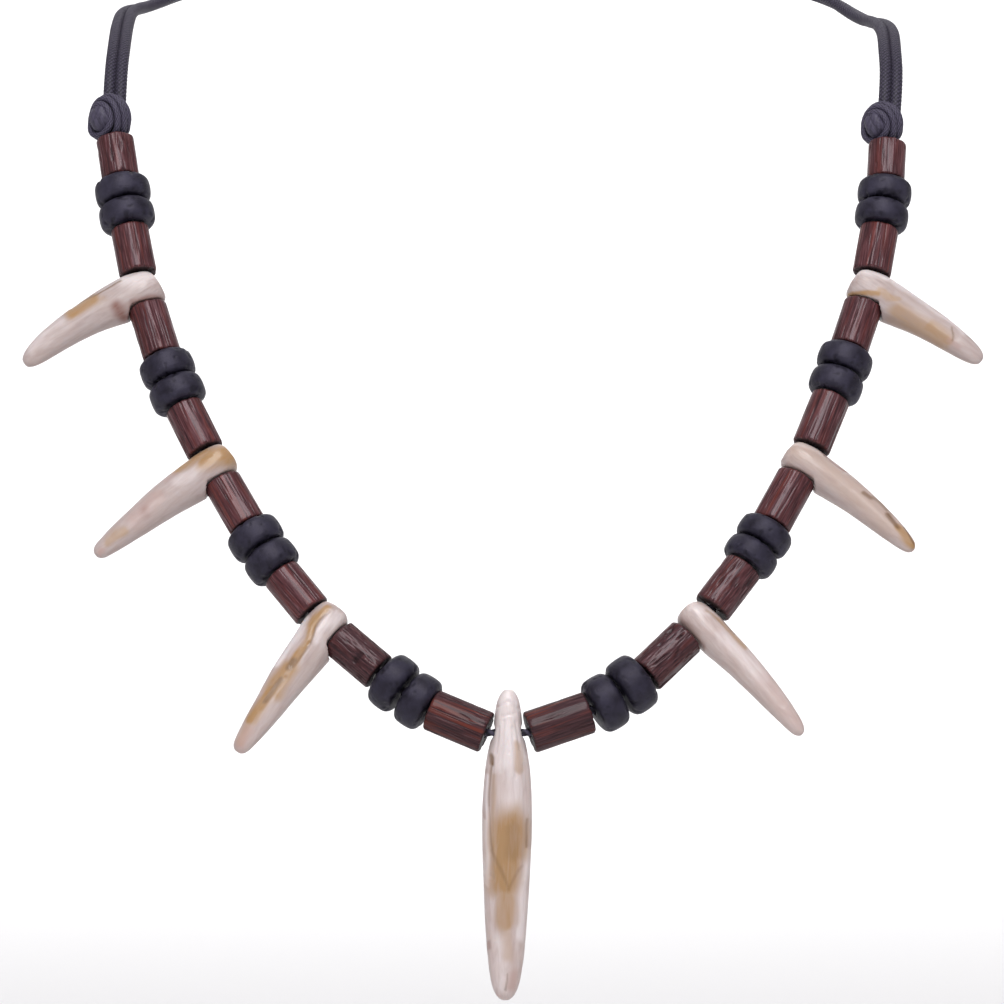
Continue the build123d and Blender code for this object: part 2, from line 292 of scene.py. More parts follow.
# %% The pairs' routes, in millimetres
# A point also says which way the pair faces there, because its strands lie side by side.
CordPoint = namedtuple("CordPoint", "x y z facing")
CORD_ROUTE = {
    "left": [
        CordPoint(-59.7, -62.0, -19.7, (0.0, -0.8, 0.6)),
        CordPoint(-59.9, -55.0, -15.9, (0.0, -0.5, 0.9)),
        CordPoint(-59.8, -47.0, -12.6, (-0.2, -0.2, 1.0)),
        CordPoint(-57.3, -38.5, -11.2, (-0.3, -0.1, 1.0)),
        CordPoint(-50.8, -27.0, -6.6, (-0.4, 0.2, 0.9)),
        CordPoint(-40.6, -14.5, -2.8, (-0.4, 0.5, 0.7)),
        CordPoint(-27.0, -4.0, -0.6, (-0.2, 0.9, 0.3)),
    ],
    "right": [
        CordPoint(58.7, -63.0, -20.6, (0.0, -0.8, 0.6)),
        CordPoint(59.1, -56.0, -17.0, (0.0, -0.5, 0.9)),
        CordPoint(58.6, -48.0, -14.7, (0.2, -0.2, 1.0)),
        CordPoint(56.6, -39.5, -13.5, (0.3, -0.1, 1.0)),
        CordPoint(51.2, -27.5, -7.8, (0.4, 0.2, 0.9)),
        CordPoint(41.0, -14.5, -3.4, (0.4, 0.5, 0.7)),
        CordPoint(27.2, -4.0, -0.8, (0.2, 0.9, 0.3)),
    ],
}
CORD_START = {"left": (-59.72, -69.59, -28.643), "right": (58.075, -69.895, -29.385)}
CORD_LEAN = math.radians(27)  # how far the cords lean back as they leave the knots
CORD_DRIFT = {"left": 0.0, "right": 0.1}  # how far they head to the right, for each unit of length
FIRST_RUN = 5.0
CORD_END = (5.6, 2.6, 0.0)  # at the closing knot, for the right side
LAST_RUN = 8.5
STRAND_PITCH = 1.72  # from one strand's middle to the other's
CORD_DIAMETER = 1.6
CORD_LENGTHS = {"left_outer": 108.5, "left_inner": 107.4, "right_outer": 108.6, "right_inner": 107.4}
SKIN_SWELL = 1.12  # the braid is a little fatter than the cord's nominal size, so the strands touch


# %% A strand's own route
def pair_route(side):
    """The middle between a side's strands, from its ball knot to the closing knot, and its facing."""
    heads = unit(np.array((CORD_DRIFT[side], math.sin(CORD_LEAN), math.cos(CORD_LEAN))))
    start = np.array(CORD_START[side])
    end = np.array(CORD_END) * (OUTWARD[side], 1, 1)
    middle = [start, start + heads * FIRST_RUN]
    middle += [np.array(point[:3]) for point in CORD_ROUTE[side]]
    middle += [end + (OUTWARD[side] * LAST_RUN, 0, 0), end]
    facing = [(0, -heads[2], heads[1])] * 2
    facing += [point.facing for point in CORD_ROUTE[side]]
    facing += [(0, 1, 0)] * 2
    return np.array(middle), np.array(facing)


def strand_route(side, strand):
    """The pair's points, moved half a pitch to this strand's side, to a hundredth of a millimetre."""
    middle, facing = pair_route(side)
    along = np.zeros_like(middle)
    along[1:-1] = middle[2:] - middle[:-2]
    along[:2] = middle[1] - middle[0]  # the first run and the last one are straight
    along[-2:] = middle[-1] - middle[-2]
    aside = np.cross(along, facing)
    aside /= np.linalg.norm(aside, axis=1)[:, None]
    way = OUTWARD[side] * (1 if strand == "outer" else -1)
    return np.round(middle + aside * (way * STRAND_PITCH / 2), 2)


# %% A line to wrap a skin round
def spline_points(points, step):
    """Points a step apart along a smooth spline. Everything here is in millimetres."""
    curve = bpy.data.curves.new("route", "CURVE")
    curve.dimensions = "3D"
    curve.resolution_u = 24
    spline = curve.splines.new("NURBS")
    spline.points.add(len(points) - 1)
    for knot, point in zip(spline.points, points):
        knot.co = (*point, 1)
    spline.order_u = 3
    spline.use_endpoint_u = True
    route = bpy.data.objects.new("route", curve)
    mesh = bpy.data.meshes.new_from_object(route)
    line = np.array([v.co for v in mesh.vertices])
    bpy.data.objects.remove(route)
    bpy.data.meshes.remove(mesh)
    bpy.data.curves.remove(curve)
    return even_points(line, step)


def length_along(line):
    """How far along the line each of its points lies."""
    return np.concatenate([[0], np.cumsum(np.linalg.norm(np.diff(line, axis=0), axis=1))])


def even_points(line, step):
    """The same line, with its points the same distance apart."""
    gone = length_along(line)
    places = np.linspace(0, gone[-1], max(2, round(gone[-1] / step)) + 1)
    return np.stack([np.interp(places, gone, line[:, i]) for i in range(3)], -1)


FIRST_SIDE = (0.3, 0.2, 0.9)  # any direction will do that no line starts in


def axes_across(line):
    """Two unit vectors across the line at each point, which turn about it as little as they can."""
    along = np.gradient(line, axis=0)
    along /= np.linalg.norm(along, axis=1)[:, None]
    side = np.cross(along[0], FIRST_SIDE)
    sides = []
    for direction in along:
        side = square_to(side, direction)
        sides.append(side)
    sides = np.array(sides)
    return sides, np.cross(along, sides)


# %% A skin round a line
FIBRE_DRAW = 0.3  # fibres are drawn out along the cord by this scale


def round_skin(name, line, gone, angle, radius, crown):
    """A round cord of a changing radius. It stores how high each point stands, and where it is."""
    sides, ups = axes_across(line)
    rings = (line[:, None, :] + (radius * np.cos(angle))[..., None] * sides[:, None, :]
             + (radius * np.sin(angle))[..., None] * ups[:, None, :])
    mesh = ring_mesh(name, rings * MM)
    store(mesh, "crown", crown.ravel())
    place = np.stack([np.cos(angle) + 0 * gone, np.sin(angle) + 0 * gone, gone * FIBRE_DRAW + 0 * angle], -1)
    store(mesh, "along", place.reshape(-1, 3))
    return mesh


# %% The braid
BRAID_CARRIERS = 8
BRAID_PITCH = 0.72  # along the cord, one diamond of the braid
BRAID_DEPTH = 0.11  # of the cord's radius
BRAID_LEVEL = 0.6  # the height that lies at the cord's own radius
BRAID_DIP = 0.45  # how far a crown has dropped where it goes under its neighbour
CORD_STEP = 0.20
CORD_AROUND = 36
INTO_KNOT = 2.0  # how far a cord goes on into its knot


def braid_height(turn, gone):
    """How high the braid stands, from 0 in a gap to 1 on a crown. turn is 0 to 1 round the cord."""
    first = turn * BRAID_CARRIERS + gone / BRAID_PITCH
    second = turn * BRAID_CARRIERS - gone / BRAID_PITCH
    over = (np.floor(first) + np.floor(second)) % 2 == 0
    across = np.where(over, first, second) % 1 - 0.5
    lengthwise = np.where(over, second, first) % 1 - 0.5
    return (1 - (2 * across) ** 2) * (1 - BRAID_DIP * (2 * lengthwise) ** 2)


def braided_skin(name, line, diameter, depth=BRAID_DEPTH, wear_and_sheen=0.0):
    """A braided cord round a line in millimetres. Its gaps go in and its crowns stand a little out."""
    gone = length_along(line)[:, None]
    turn = (np.arange(CORD_AROUND) / CORD_AROUND)[None, :]
    rise = braid_height(turn + 0 * gone, gone + 0 * turn) - BRAID_LEVEL
    radius = diameter / 2 * (1 + depth * rise)
    # Raising every crown paints the strands lighter all over, as a painted sheen.
    crown = BRAID_LEVEL + rise * depth / BRAID_DEPTH + wear_and_sheen
    return round_skin(name, line, gone, 2 * math.pi * turn, radius, crown)


# %% Four neck cords
cords = {}
for which in CORD_LENGTHS:
    line = spline_points(strand_route(*which.split("_")), CORD_STEP)
    back = unit(line[0] - line[1])
    steps = np.arange(round(INTO_KNOT / CORD_STEP), 0, -1)[:, None]
    mesh = braided_skin(f"braided_cord_{which}", np.concatenate([line[0] + back * steps * CORD_STEP, line]),
                        CORD_DIAMETER * SKIN_SWELL)
    cord = add_piece(mesh.name, mesh, cord_finish, "black_cord", BODY, f"neck_cord_{which}")
    cords[which] = (cord, line)
    print(cord.name, "has", len(mesh.polygons), "faces")

# %% [markdown]
# ## Where the beads sit
# The beads hang on a curve, each with its own tilt. Their places could be worked out again from that
# curve, but the solids already sit there, so each bead's seat is read from its solid. A turned bead
# has two flat ends, and all the faces of a flat end share one direction, which is the bead's axis.
# Every other direction belongs to a thin strip of the round wall, so the one with the most area wins.


# %% Seats of the turned beads
Seat = namedtuple("Seat", "middle along side front half radius bore")
NUMBERS = range(1, 9)  # a side has eight tubes and eight discs, and 1 is the topmost


def seat_of(node, side):
    """Where a turned bead sits, in millimetres. Its along axis runs up the string."""
    mesh = frame["nodes"][node].data
    area = {}
    for face in mesh.polygons:
        upward = face.normal if face.normal.z > 0 else -face.normal
        key = tuple(round(c, 2) for c in upward)
        total = area.get(key, (0, upward))[0]
        area[key] = (total + face.area, upward)
    along = np.array(max(area.values(), key=lambda found: found[0])[1])
    if along @ (OUTWARD[side], 0, 1) < 0:
        along = -along
    points = points_of(mesh)
    reach = points @ along
    middle = (points.min(0) + points.max(0)) / 2
    middle = middle + along * ((reach.max() + reach.min()) / 2 - middle @ along)
    front = square_to(np.array((0.0, -1.0, 0.0)), along)
    away = points - middle
    away = np.linalg.norm(away - np.outer(away @ along, along), axis=1)
    return Seat(middle, along, np.cross(front, along), front, (reach.max() - reach.min()) / 2,
                away.max(), away.min())


tube_seats = {(side, n): seat_of(f"wood_tube_{side}_{n}", side) for side in SIDES for n in NUMBERS}
disc_seats = {(side, n): seat_of(f"black_disc_{side}_{n}", side) for side in SIDES for n in NUMBERS}
print("first tube:", tube_seats["left", 1])

# %% A drilled bead from its section
SEED_PLACE = np.array((1, 0.7, 1.3))  # moves each bead to its own part of the textures


def turned(section, around):
    """Radius and height of every point of a turned bead, and the angle of each of its columns."""
    radii = np.repeat(section[:, :1], around, 1)
    heights = np.repeat(section[:, 1:], around, 1)
    return radii, heights, 2 * math.pi * np.arange(around) / around


def drilled_bead(name, seat, angle, radii, heights, seed):
    """The mesh of a bead on its seat. The section closes on itself through the bore."""
    across = np.cos(angle)[:, None] * seat.side + np.sin(angle)[:, None] * seat.front
    rings = seat.middle + radii[..., None] * across + heights[..., None] * seat.along
    mesh = ring_mesh(name, rings * MM, joined=True)
    local = np.stack([radii * np.cos(angle), radii * np.sin(angle), heights], -1)
    store(mesh, "local", (local + seed * SEED_PLACE).reshape(-1, 3))
    return mesh


# %% Flaws in a bead's surface
Flaw = namedtuple("Flaw", "size draw edge depth", defaults=[0])


def flaw_at(flaw, points, seed):
    """How strong a flaw is at each point, from 0 to 1.

    A flaw is noise of a size in millimetres, and a draw below 1 makes it longer along the bead. It
    starts where the noise passes the first number of its edge, and is full past the second.
    """
    return smooth_step(*flaw.edge, noise_on(points * (1, 1, flaw.draw), flaw.size, seed))


# %% [markdown]
# ## Wood finish
# The tubes are a dark red-brown hardwood, cut across the grain into short lengths and lacquered.
# What the eye reads is the fibre: long thin pores, nearly black, beside pinkish ridges that catch
# the light, with a few orange-red streaks. The lightest of that grain is partly painted glints along
# the ridges. Rings of growth, the usual wood texture, don't show on so small a piece. So every texture
# here is noise that is drawn out to run along the bead, and the pores that the mesh really has are read
# back to darken them. The ends and the bore are painted near black too: partly bare end grain, partly
# painted shade in the gaps between beads and inside the bore.


# %% Dark wood
def dark_wood():
    finish, tree, shader = new_finish("lacquered_dark_wood")
    place = stored(tree, "local", "Vector")
    lengthwise = scaled(tree, place, (1.0, 1.0, 0.05))
    fibre = add_noise(tree, lengthwise, 5.0, 6.0, Roughness=0.6, Distortion=0.15)
    streak = add_noise(tree, lengthwise, 1.5, 2.0)
    speck = add_noise(tree, place, 5.0, 5.0, Roughness=0.7)
    # The lightest stop is partly the pinkish fibre and partly painted glints along the ridges.
    grain = add_ramp(tree, fibre, (0.34, (0.024, 0.006, 0.008)), (0.48, (0.078, 0.022, 0.024)),
                     (0.60, (0.125, 0.044, 0.048)), (0.74, (0.280, 0.150, 0.165)))
    reddish = add_ramp(tree, streak, (0.50, BLACK), (0.66, WHITE))
    red_share = combine(tree, "MULTIPLY", reddish, stored(tree, "red"), clamp=True)
    warm = mix_colours(tree, red_share, grain, (0.230, 0.040, 0.020))
    darkness = combine(tree, "SUBTRACT", 1.0, stored(tree, "shade"), clamp=True)
    warm = mix_colours(tree, darkness, warm, (0.010, 0.003, 0.004))
    pore = stored(tree, "pore")
    pore_share = combine(tree, "MULTIPLY", pore, 0.68, clamp=True)
    colour = mix_colours(tree, pore_share, warm, (0.012, 0.004, 0.005))
    # The ends and the bore are painted near black: partly bare end grain, partly painted shade in the gaps
    # between beads and inside the bore.
    end = stored(tree, "end")
    end_share = combine(tree, "MULTIPLY", end, 0.95, clamp=True)
    rough = combine(tree, "MULTIPLY_ADD", fibre, 0.25, 0.24)
    rough = combine(tree, "MULTIPLY_ADD", end, 0.6, rough)
    rough = combine(tree, "ADD", rough, stored(tree, "dull"))
    height = combine(tree, "MULTIPLY_ADD", speck, 0.35, fibre)
    set_inputs(tree, shader, {
        "Base Color": mix_colours(tree, end_share, colour, (0.007, 0.003, 0.003)),
        "Roughness": combine(tree, "MULTIPLY_ADD", pore, 0.35, rough),
        "Normal": add_relief(tree, height, 0.6, 0.07),
        "Specular IOR Level": 0.30,
        "Specular Tint": (1.0, 0.86, 0.97, 1),
        "Coat Weight": 0.22,
        "Coat Roughness": 0.12,
    })
    return finish


wood_finish = dark_wood()
print("finish:", wood_finish.name)

# %% [markdown]
# ## Wood tubes
# A tube is a cylinder with a hole, which a cut could make. A section turned about the axis gives the
# same form with even faces that can then be moved. For no real one is round: a knife left a few
# flats, the fibres left furrows, and the ends are chipped. These all go inwards from the solid's
# wall, so the bead never outgrows its seat.

# %% Sixteen wood tubes
TUBE_AROUND = 210
TUBE_ROWS = 18
END_ROWS = 4
TUBE_CHAMFER = 0.35
FURROW_DEPTH = 0.09
COARSE_FURROW = 0.30
FINE_FURROW = 0.17
FINE_SHARE = 0.6  # how strong the fine furrows are beside the coarse ones
PORE_EDGE = (0.16, 0.60)
PIT = Flaw(size=0.8, draw=0.4, edge=(0.36, 0.55), depth=0.16)
END_CHIP = Flaw(size=1.1, draw=0, edge=(0.1, 0.5), depth=0.08)
CHIP_REACH = 0.6  # from the end
FLATS = (1, 2, 2, 3)  # how many flats a tube may have
FLAT_DEPTH = (0.04, 0.14)
SHADE_LUCK = (0.88, 1.0)  # no two tubes are quite as dark

# A tube's look: the furrows' depth, how far the fibres wander, how strong the pits and the red
# streaks are, how light it is, and how much duller than the others.
Look = namedtuple("Look", "furrow wander pits red shade dull", defaults=[0])
USUAL_LOOK = Look(1.0, 0.045, 0.30, 0.35, 1.0)
TUBE_LOOKS = {
    ("left", 1): Look(0.8, 0.05, 0.8, 0.25, 1.0),
    ("left", 7): Look(1.3, 0.30, 1.8, 0.15, 0.60, 0.10),
    ("left", 8): Look(1.7, 0.03, 0.4, 1.00, 0.60, 0.34),
    ("right", 1): Look(0.8, 0.05, 0.6, 0.25, 1.0),
    ("right", 6): Look(1.1, 0.14, 0.9, 0.45, 0.85),
    ("right", 7): Look(1.3, 0.28, 1.6, 0.25, 0.70),
    ("right", 8): Look(0.6, 0.05, 0.4, 1.00, 0.50, 0.26),
}


def tube_section(seat):
    """The tube's section as radius and height of each row, up the outside and down the bore."""
    edge = seat.half - TUBE_CHAMFER
    inner = seat.radius - TUBE_CHAMFER
    corner = np.linspace(0, math.pi / 2, 5)[1:-1]
    up_corner = np.stack([inner + TUBE_CHAMFER * np.cos(corner), edge + TUBE_CHAMFER * np.sin(corner)], -1)
    low_corner = up_corner[::-1] * (1, -1)
    face = np.linspace(inner, seat.bore, END_ROWS)
    top = np.stack([face, face * 0 + seat.half], -1)
    bore = np.stack([np.full(3, seat.bore), np.linspace(seat.half, -seat.half, 5)[1:-1]], -1)
    wall = np.stack([np.full(TUBE_ROWS, seat.radius), np.linspace(-edge, edge, TUBE_ROWS)], -1)
    return np.concatenate([low_corner, wall, up_corner, top, bore, top[::-1] * (1, -1)])


def with_flats(cut, seat, angle, luck):
    """The cuts into the round wall, and a knife's flats as well."""
    for _ in range(luck.choice(FLATS)):
        toward = luck.uniform(0, 2 * math.pi)
        depth = luck.uniform(*FLAT_DEPTH)
        turn = (angle - toward + math.pi) % (2 * math.pi) - math.pi
        flat = (seat.radius - depth) / np.cos(np.clip(turn, -1, 1))
        cut = cut + np.clip(seat.radius - flat, 0, None)
    return cut


def wood_tube(side, number):
    seat = tube_seats[side, number]
    look = TUBE_LOOKS.get((side, number), USUAL_LOOK)
    luck = random.Random(f"tube {side} {number}")
    radii, heights, angle = turned(tube_section(seat), TUBE_AROUND)
    outside = smooth_step(seat.radius - TUBE_CHAMFER * 1.2, seat.radius - TUBE_CHAMFER * 0.4, radii)
    round_wall = [turn * seat.radius + 0 * heights for turn in (np.cos(angle), np.sin(angle))]
    on_wall = np.stack([*round_wall, heights], -1)
    seed = luck.uniform(0, 50)
    lengthwise = on_wall * (1, 1, look.wander)
    fine = noise_on(lengthwise, FINE_FURROW, seed + 1)
    pore = smooth_step(*PORE_EDGE, noise_on(lengthwise, COARSE_FURROW, seed) + FINE_SHARE * fine)
    pit = flaw_at(PIT, on_wall, seed + 2) * look.pits
    cut = with_flats(FURROW_DEPTH * look.furrow * pore + PIT.depth * pit, seat, angle, luck)
    chip = END_CHIP.depth * flaw_at(END_CHIP, on_wall, seed + 3)
    near_end = smooth_step(seat.half - CHIP_REACH, seat.half, np.abs(heights))
    heights = heights * (1 - (chip / seat.half) * near_end)
    mesh = drilled_bead(f"carved_tube_{side}_{number}", seat, angle, radii - cut * outside, heights, seed)
    # Where the ends and the bore are painted dark, as end grain and as painted shade.
    end = smooth_step(seat.half - 0.35, seat.half - 0.05, np.abs(heights))
    bore = 1 - smooth_step(seat.bore + 0.1, seat.bore + 0.4, radii)
    store(mesh, "pore", ((pore * 0.75 + pit * 0.5) * outside).ravel())
    store(mesh, "end", np.maximum(end * smooth_step(seat.radius, seat.radius - 0.5, radii), bore).ravel())
    store(mesh, "red", np.full(radii.size, look.red))
    store(mesh, "shade", np.full(radii.size, look.shade * luck.uniform(*SHADE_LUCK)))
    store(mesh, "dull", np.full(radii.size, look.dull))
    return add_piece(mesh.name, mesh, wood_finish, "dark_wood", BODY, f"wood_tube_{side}_{number}")


tubes = [wood_tube(side, number) for side, number in tube_seats]
print("tubes:", len(tubes), "with", len(tubes[0].data.polygons), "faces each")

# %% [markdown]
# ## Disc finish
# The discs are wood too, but stained and burnt to a blue-black, then rubbed to a soft shine. A dark
# colour alone would look like a hole in the picture. Dark things show their surface only in the
# highlights, so the roughness carries this finish: it varies in blotches, with faint turning lines,
# pale scuffs and a few chips. The walls of the upper discs are painted paler, partly rubbed pale with
# use and partly a painted sheen where the light catches them, and the chips and dents are painted
# near black, as painted shade in those hollows.


# %% Black wood
def black_wood():
    finish, tree, shader = new_finish("rubbed_black_wood")
    place = stored(tree, "local", "Vector")
    blotch = add_noise(tree, place, 0.7, 4.0)
    speck = add_noise(tree, place, 6.0, 6.0, Roughness=0.7)
    lines = add_noise(tree, scaled(tree, place, (0.12, 0.12, 2.2)), 5.0, 3.0)
    colour = add_ramp(tree, blotch, (0.35, (0.007, 0.006, 0.012)), (0.65, (0.020, 0.018, 0.033)))
    # The upper discs' walls are painted paler: partly rubbed pale with use, partly a painted sheen.
    worn_and_sheen_share = combine(tree, "MULTIPLY", stored(tree, "worn_and_sheen"), 0.22, clamp=True)
    colour = mix_colours(tree, worn_and_sheen_share, colour, (0.075, 0.070, 0.110))
    scuff = add_ramp(tree, speck, (0.60, BLACK), (0.74, WHITE))
    colour = mix_colours(tree, combine(tree, "MULTIPLY", scuff, 0.40), colour, (0.060, 0.056, 0.084))
    # Chips and dents are painted near black, as painted shade in those hollows.
    chip_shade_share = combine(tree, "MULTIPLY", stored(tree, "chip"), 0.7, clamp=True)
    height = combine(tree, "MULTIPLY_ADD", lines, 0.8, speck)
    set_inputs(tree, shader, {
        "Base Color": mix_colours(tree, chip_shade_share, colour, (0.003, 0.003, 0.006)),
        "Roughness": combine(tree, "MULTIPLY_ADD", blotch, 0.30, 0.32),
        "Normal": add_relief(tree, height, 0.55, 0.08),
        "Specular IOR Level": 0.42,
        "Specular Tint": (0.86, 0.80, 1.0, 1),
    })
    return finish


disc_finish = black_wood()
print("finish:", disc_finish.name)

# %% [markdown]
# ## Black discs
# A disc is a short barrel: its wall swells a little between two tight round rims. A flattened ring
# would be close, but its sides are too round, so this is a turned section like the tubes. Each one
# is a touch lopsided, and bits have broken out of the rims. The lowest four look larger in the
# photograph than the rest, and two of them have slid down, so they are changed here within the space
# they have.

# %% Sixteen black discs
DISC_AROUND = 120
DISC_BULGE = 0.3
RIM_SHARE = 0.22  # rim radius, of the disc's thickness
RIM_CHIP = Flaw(size=0.9, draw=1, edge=(0.20, 0.42), depth=0.16)
DENT = Flaw(size=0.7, draw=1, edge=(0.40, 0.60), depth=0.07)
WEAR_AND_SHEEN_PATCH = Flaw(size=3.0, draw=1, edge=(-0.35, 0.35))
DISC_SLID = {("left", 7): 0.30, ("left", 8): 0.40}  # loose on the thread, these slid down it
DISC_SWELL = {7: 0.16, 8: 0.16}
# How pale each disc's wall is painted, from the top down: partly use, partly painted sheen.
DISC_WEAR_AND_SHEEN = {1: 1.0, 2: 0.9, 3: 0.8, 4: 0.7, 5: 0.6, 6: 0.4, 7: 0.1, 8: 0.1}


def disc_section(seat):
    """The disc's section as radius and height of each row."""
    rim = 2 * seat.half * RIM_SHARE
    edge = seat.half - rim
    turn = np.linspace(0, math.pi / 2, 7)
    heights = np.concatenate([np.linspace(0, edge, 8)[:-1], edge + rim * np.sin(turn)])
    radii = np.concatenate([np.full(7, seat.radius), seat.radius - rim * (1 - np.cos(turn))])
    radii = radii - DISC_BULGE * (heights / seat.half) ** 2
    face = np.linspace(radii[-1], seat.bore, 5)[1:]
    upper = np.stack([np.concatenate([radii, face]), np.concatenate([heights, face * 0 + seat.half])], -1)
    bore = np.stack([np.full(2, seat.bore), np.linspace(seat.half, -seat.half, 4)[1:-1]], -1)
    return np.concatenate([upper, bore, upper[:0:-1] * (1, -1)])


def black_disc(side, number):
    seat = disc_seats[side, number]
    seat = seat._replace(middle=seat.middle - seat.along * DISC_SLID.get((side, number), 0),
                         radius=seat.radius + DISC_SWELL.get(number, 0))
    luck = random.Random(f"disc {side} {number}")
    radii, heights, angle = turned(disc_section(seat), DISC_AROUND)
    spots = np.stack([radii * np.cos(angle), radii * np.sin(angle), heights], -1)
    seed = luck.uniform(0, 50)
    outside = smooth_step(seat.radius * 0.45, seat.radius * 0.8, radii)
    lopsided = 0.06 * noise_on(spots, 4.0, seed) + 0.05 * noise_on(spots, 1.4, seed + 1) ** 2 - 0.02
    near_rim = smooth_step(seat.half * 0.35, seat.half * 0.75, np.abs(heights))
    chip = flaw_at(RIM_CHIP, spots, seed + 2) * near_rim
    dent = flaw_at(DENT, spots, seed + 3)
    inward = (lopsided + RIM_CHIP.depth * chip + DENT.depth * dent) * outside
    mesh = drilled_bead(f"burnt_disc_{side}_{number}", seat, angle, radii - inward,
                        heights * (1 - inward * 0.4 / seat.half), seed)
    wear_and_sheen = DISC_WEAR_AND_SHEEN[number] * flaw_at(WEAR_AND_SHEEN_PATCH, spots, seed + 4)
    store(mesh, "chip", (np.maximum(chip, dent) * outside).ravel())
    store(mesh, "worn_and_sheen", (wear_and_sheen * smooth_step(0.5, 0.9, radii / seat.radius)).ravel())
    return add_piece(mesh.name, mesh, disc_finish, "black_disc", BODY, f"black_disc_{side}_{number}")


discs = [black_disc(side, number) for side, number in disc_seats]
print("discs:", len(discs), "with", len(discs[0].data.polygons), "faces each")

# %% [markdown]
# ## Tooth finish
# The teeth are polished: milky, slightly see-through, and glossy. Their colour runs in streaks from
# root to tip, pinkish white over cream, with tan stains and thin brown lines. Among the marks are white
# patches, which are partly the teeth's pale tone and partly painted highlights on the root tops and
# ridges, and reddish marks beside the tubes, which are partly painted reflection and shadow of the red
# wood. Each tooth has its own stains, and a painted image for each could hold them. Here they are placed
# tooth by tooth further down and stored on the mesh, so the finish is one for all and only frays their
# edges.


# %% Polished tooth
TOOTH_STAINS_AND_PAINTED_LIGHT = {
    # partly pale tone, partly painted highlight on the root tops and ridges
    "white": (0.84, 0.76, 0.755),
    "tan": (0.43, 0.255, 0.118),
    "blush": (0.50, 0.335, 0.300),
    # partly reddish stain, partly painted reflection and shadow of the wood tubes on the edges beside them
    "red": (0.26, 0.115, 0.090),
    "brown": (0.19, 0.105, 0.050),
}


def polished_tooth():
    finish, tree, shader = new_finish("polished_tooth")
    place = stored(tree, "local", "Vector")
    streak = add_noise(tree, scaled(tree, place, (0.16, 1.0, 1.0)), 1.5, 6.0, Roughness=0.6, Distortion=0.5)
    cloud = add_noise(tree, place, 0.28, 4.0)
    milk = add_ramp(tree, streak, (0.28, (0.52, 0.41, 0.395)), (0.48, (0.61, 0.50, 0.48)),
                    (0.70, (0.68, 0.59, 0.58)))
    colour = mix_colours(tree, combine(tree, "MULTIPLY", cloud, 0.35), milk, (0.58, 0.45, 0.37))
    wrinkle = add_noise(tree, scaled(tree, place, (0.12, 1.0, 1.0)), 3.2, 4.0)
    wrinkled = combine(tree, "MULTIPLY", wrinkle, stored(tree, "wrinkle"))
    lined = add_ramp(tree, wrinkled, (0.50, BLACK), (0.62, WHITE))
    colour = mix_colours(tree, combine(tree, "MULTIPLY", lined, 0.30), colour, (0.38, 0.28, 0.27))
    dull = combine(tree, "SUBTRACT", 1.0, stored(tree, "tone"), clamp=True)
    colour = mix_colours(tree, dull, colour, (0.05, 0.045, 0.06))
    fray = combine(tree, "MULTIPLY_ADD", streak, 1.2, 0.38)
    for kind, stain in TOOTH_STAINS_AND_PAINTED_LIGHT.items():
        share = combine(tree, "MULTIPLY", stored(tree, kind), fray, clamp=True)
        colour = mix_colours(tree, share, colour, stain)
    height = combine(tree, "MULTIPLY_ADD", wrinkled, 2.0, streak)
    set_inputs(tree, shader, {
        "Base Color": colour,
        "Roughness": combine(tree, "MULTIPLY_ADD", cloud, 0.22, 0.27),
        "Normal": add_relief(tree, height, 0.16, 0.10),
        "Subsurface Weight": 0.18,
        "Subsurface Radius": (1.0, 0.6, 0.4),
        "Subsurface Scale": 0.9 * MM,
        "Coat Weight": 0.12,
        "Coat Roughness": 0.14,
    })
    return finish


tooth_finish = polished_tooth()
print("finish:", tooth_finish.name)

# %% [markdown]
# ## Teeth
# A tooth is a bowed, pointed form that no turned section gives, and sculpting it again would only
# copy what the solid has: the right outline, notches and drilled hole. So a copy of the solid is
# remeshed, which gives it fine and even faces, and the flutes, folds and grooves are pressed into
# those. To say where a groove or a stain is, each point gets shares: how far it lies from root to
# tip, and how far across the tooth, from -1 at the lower edge to 1 at the upper.

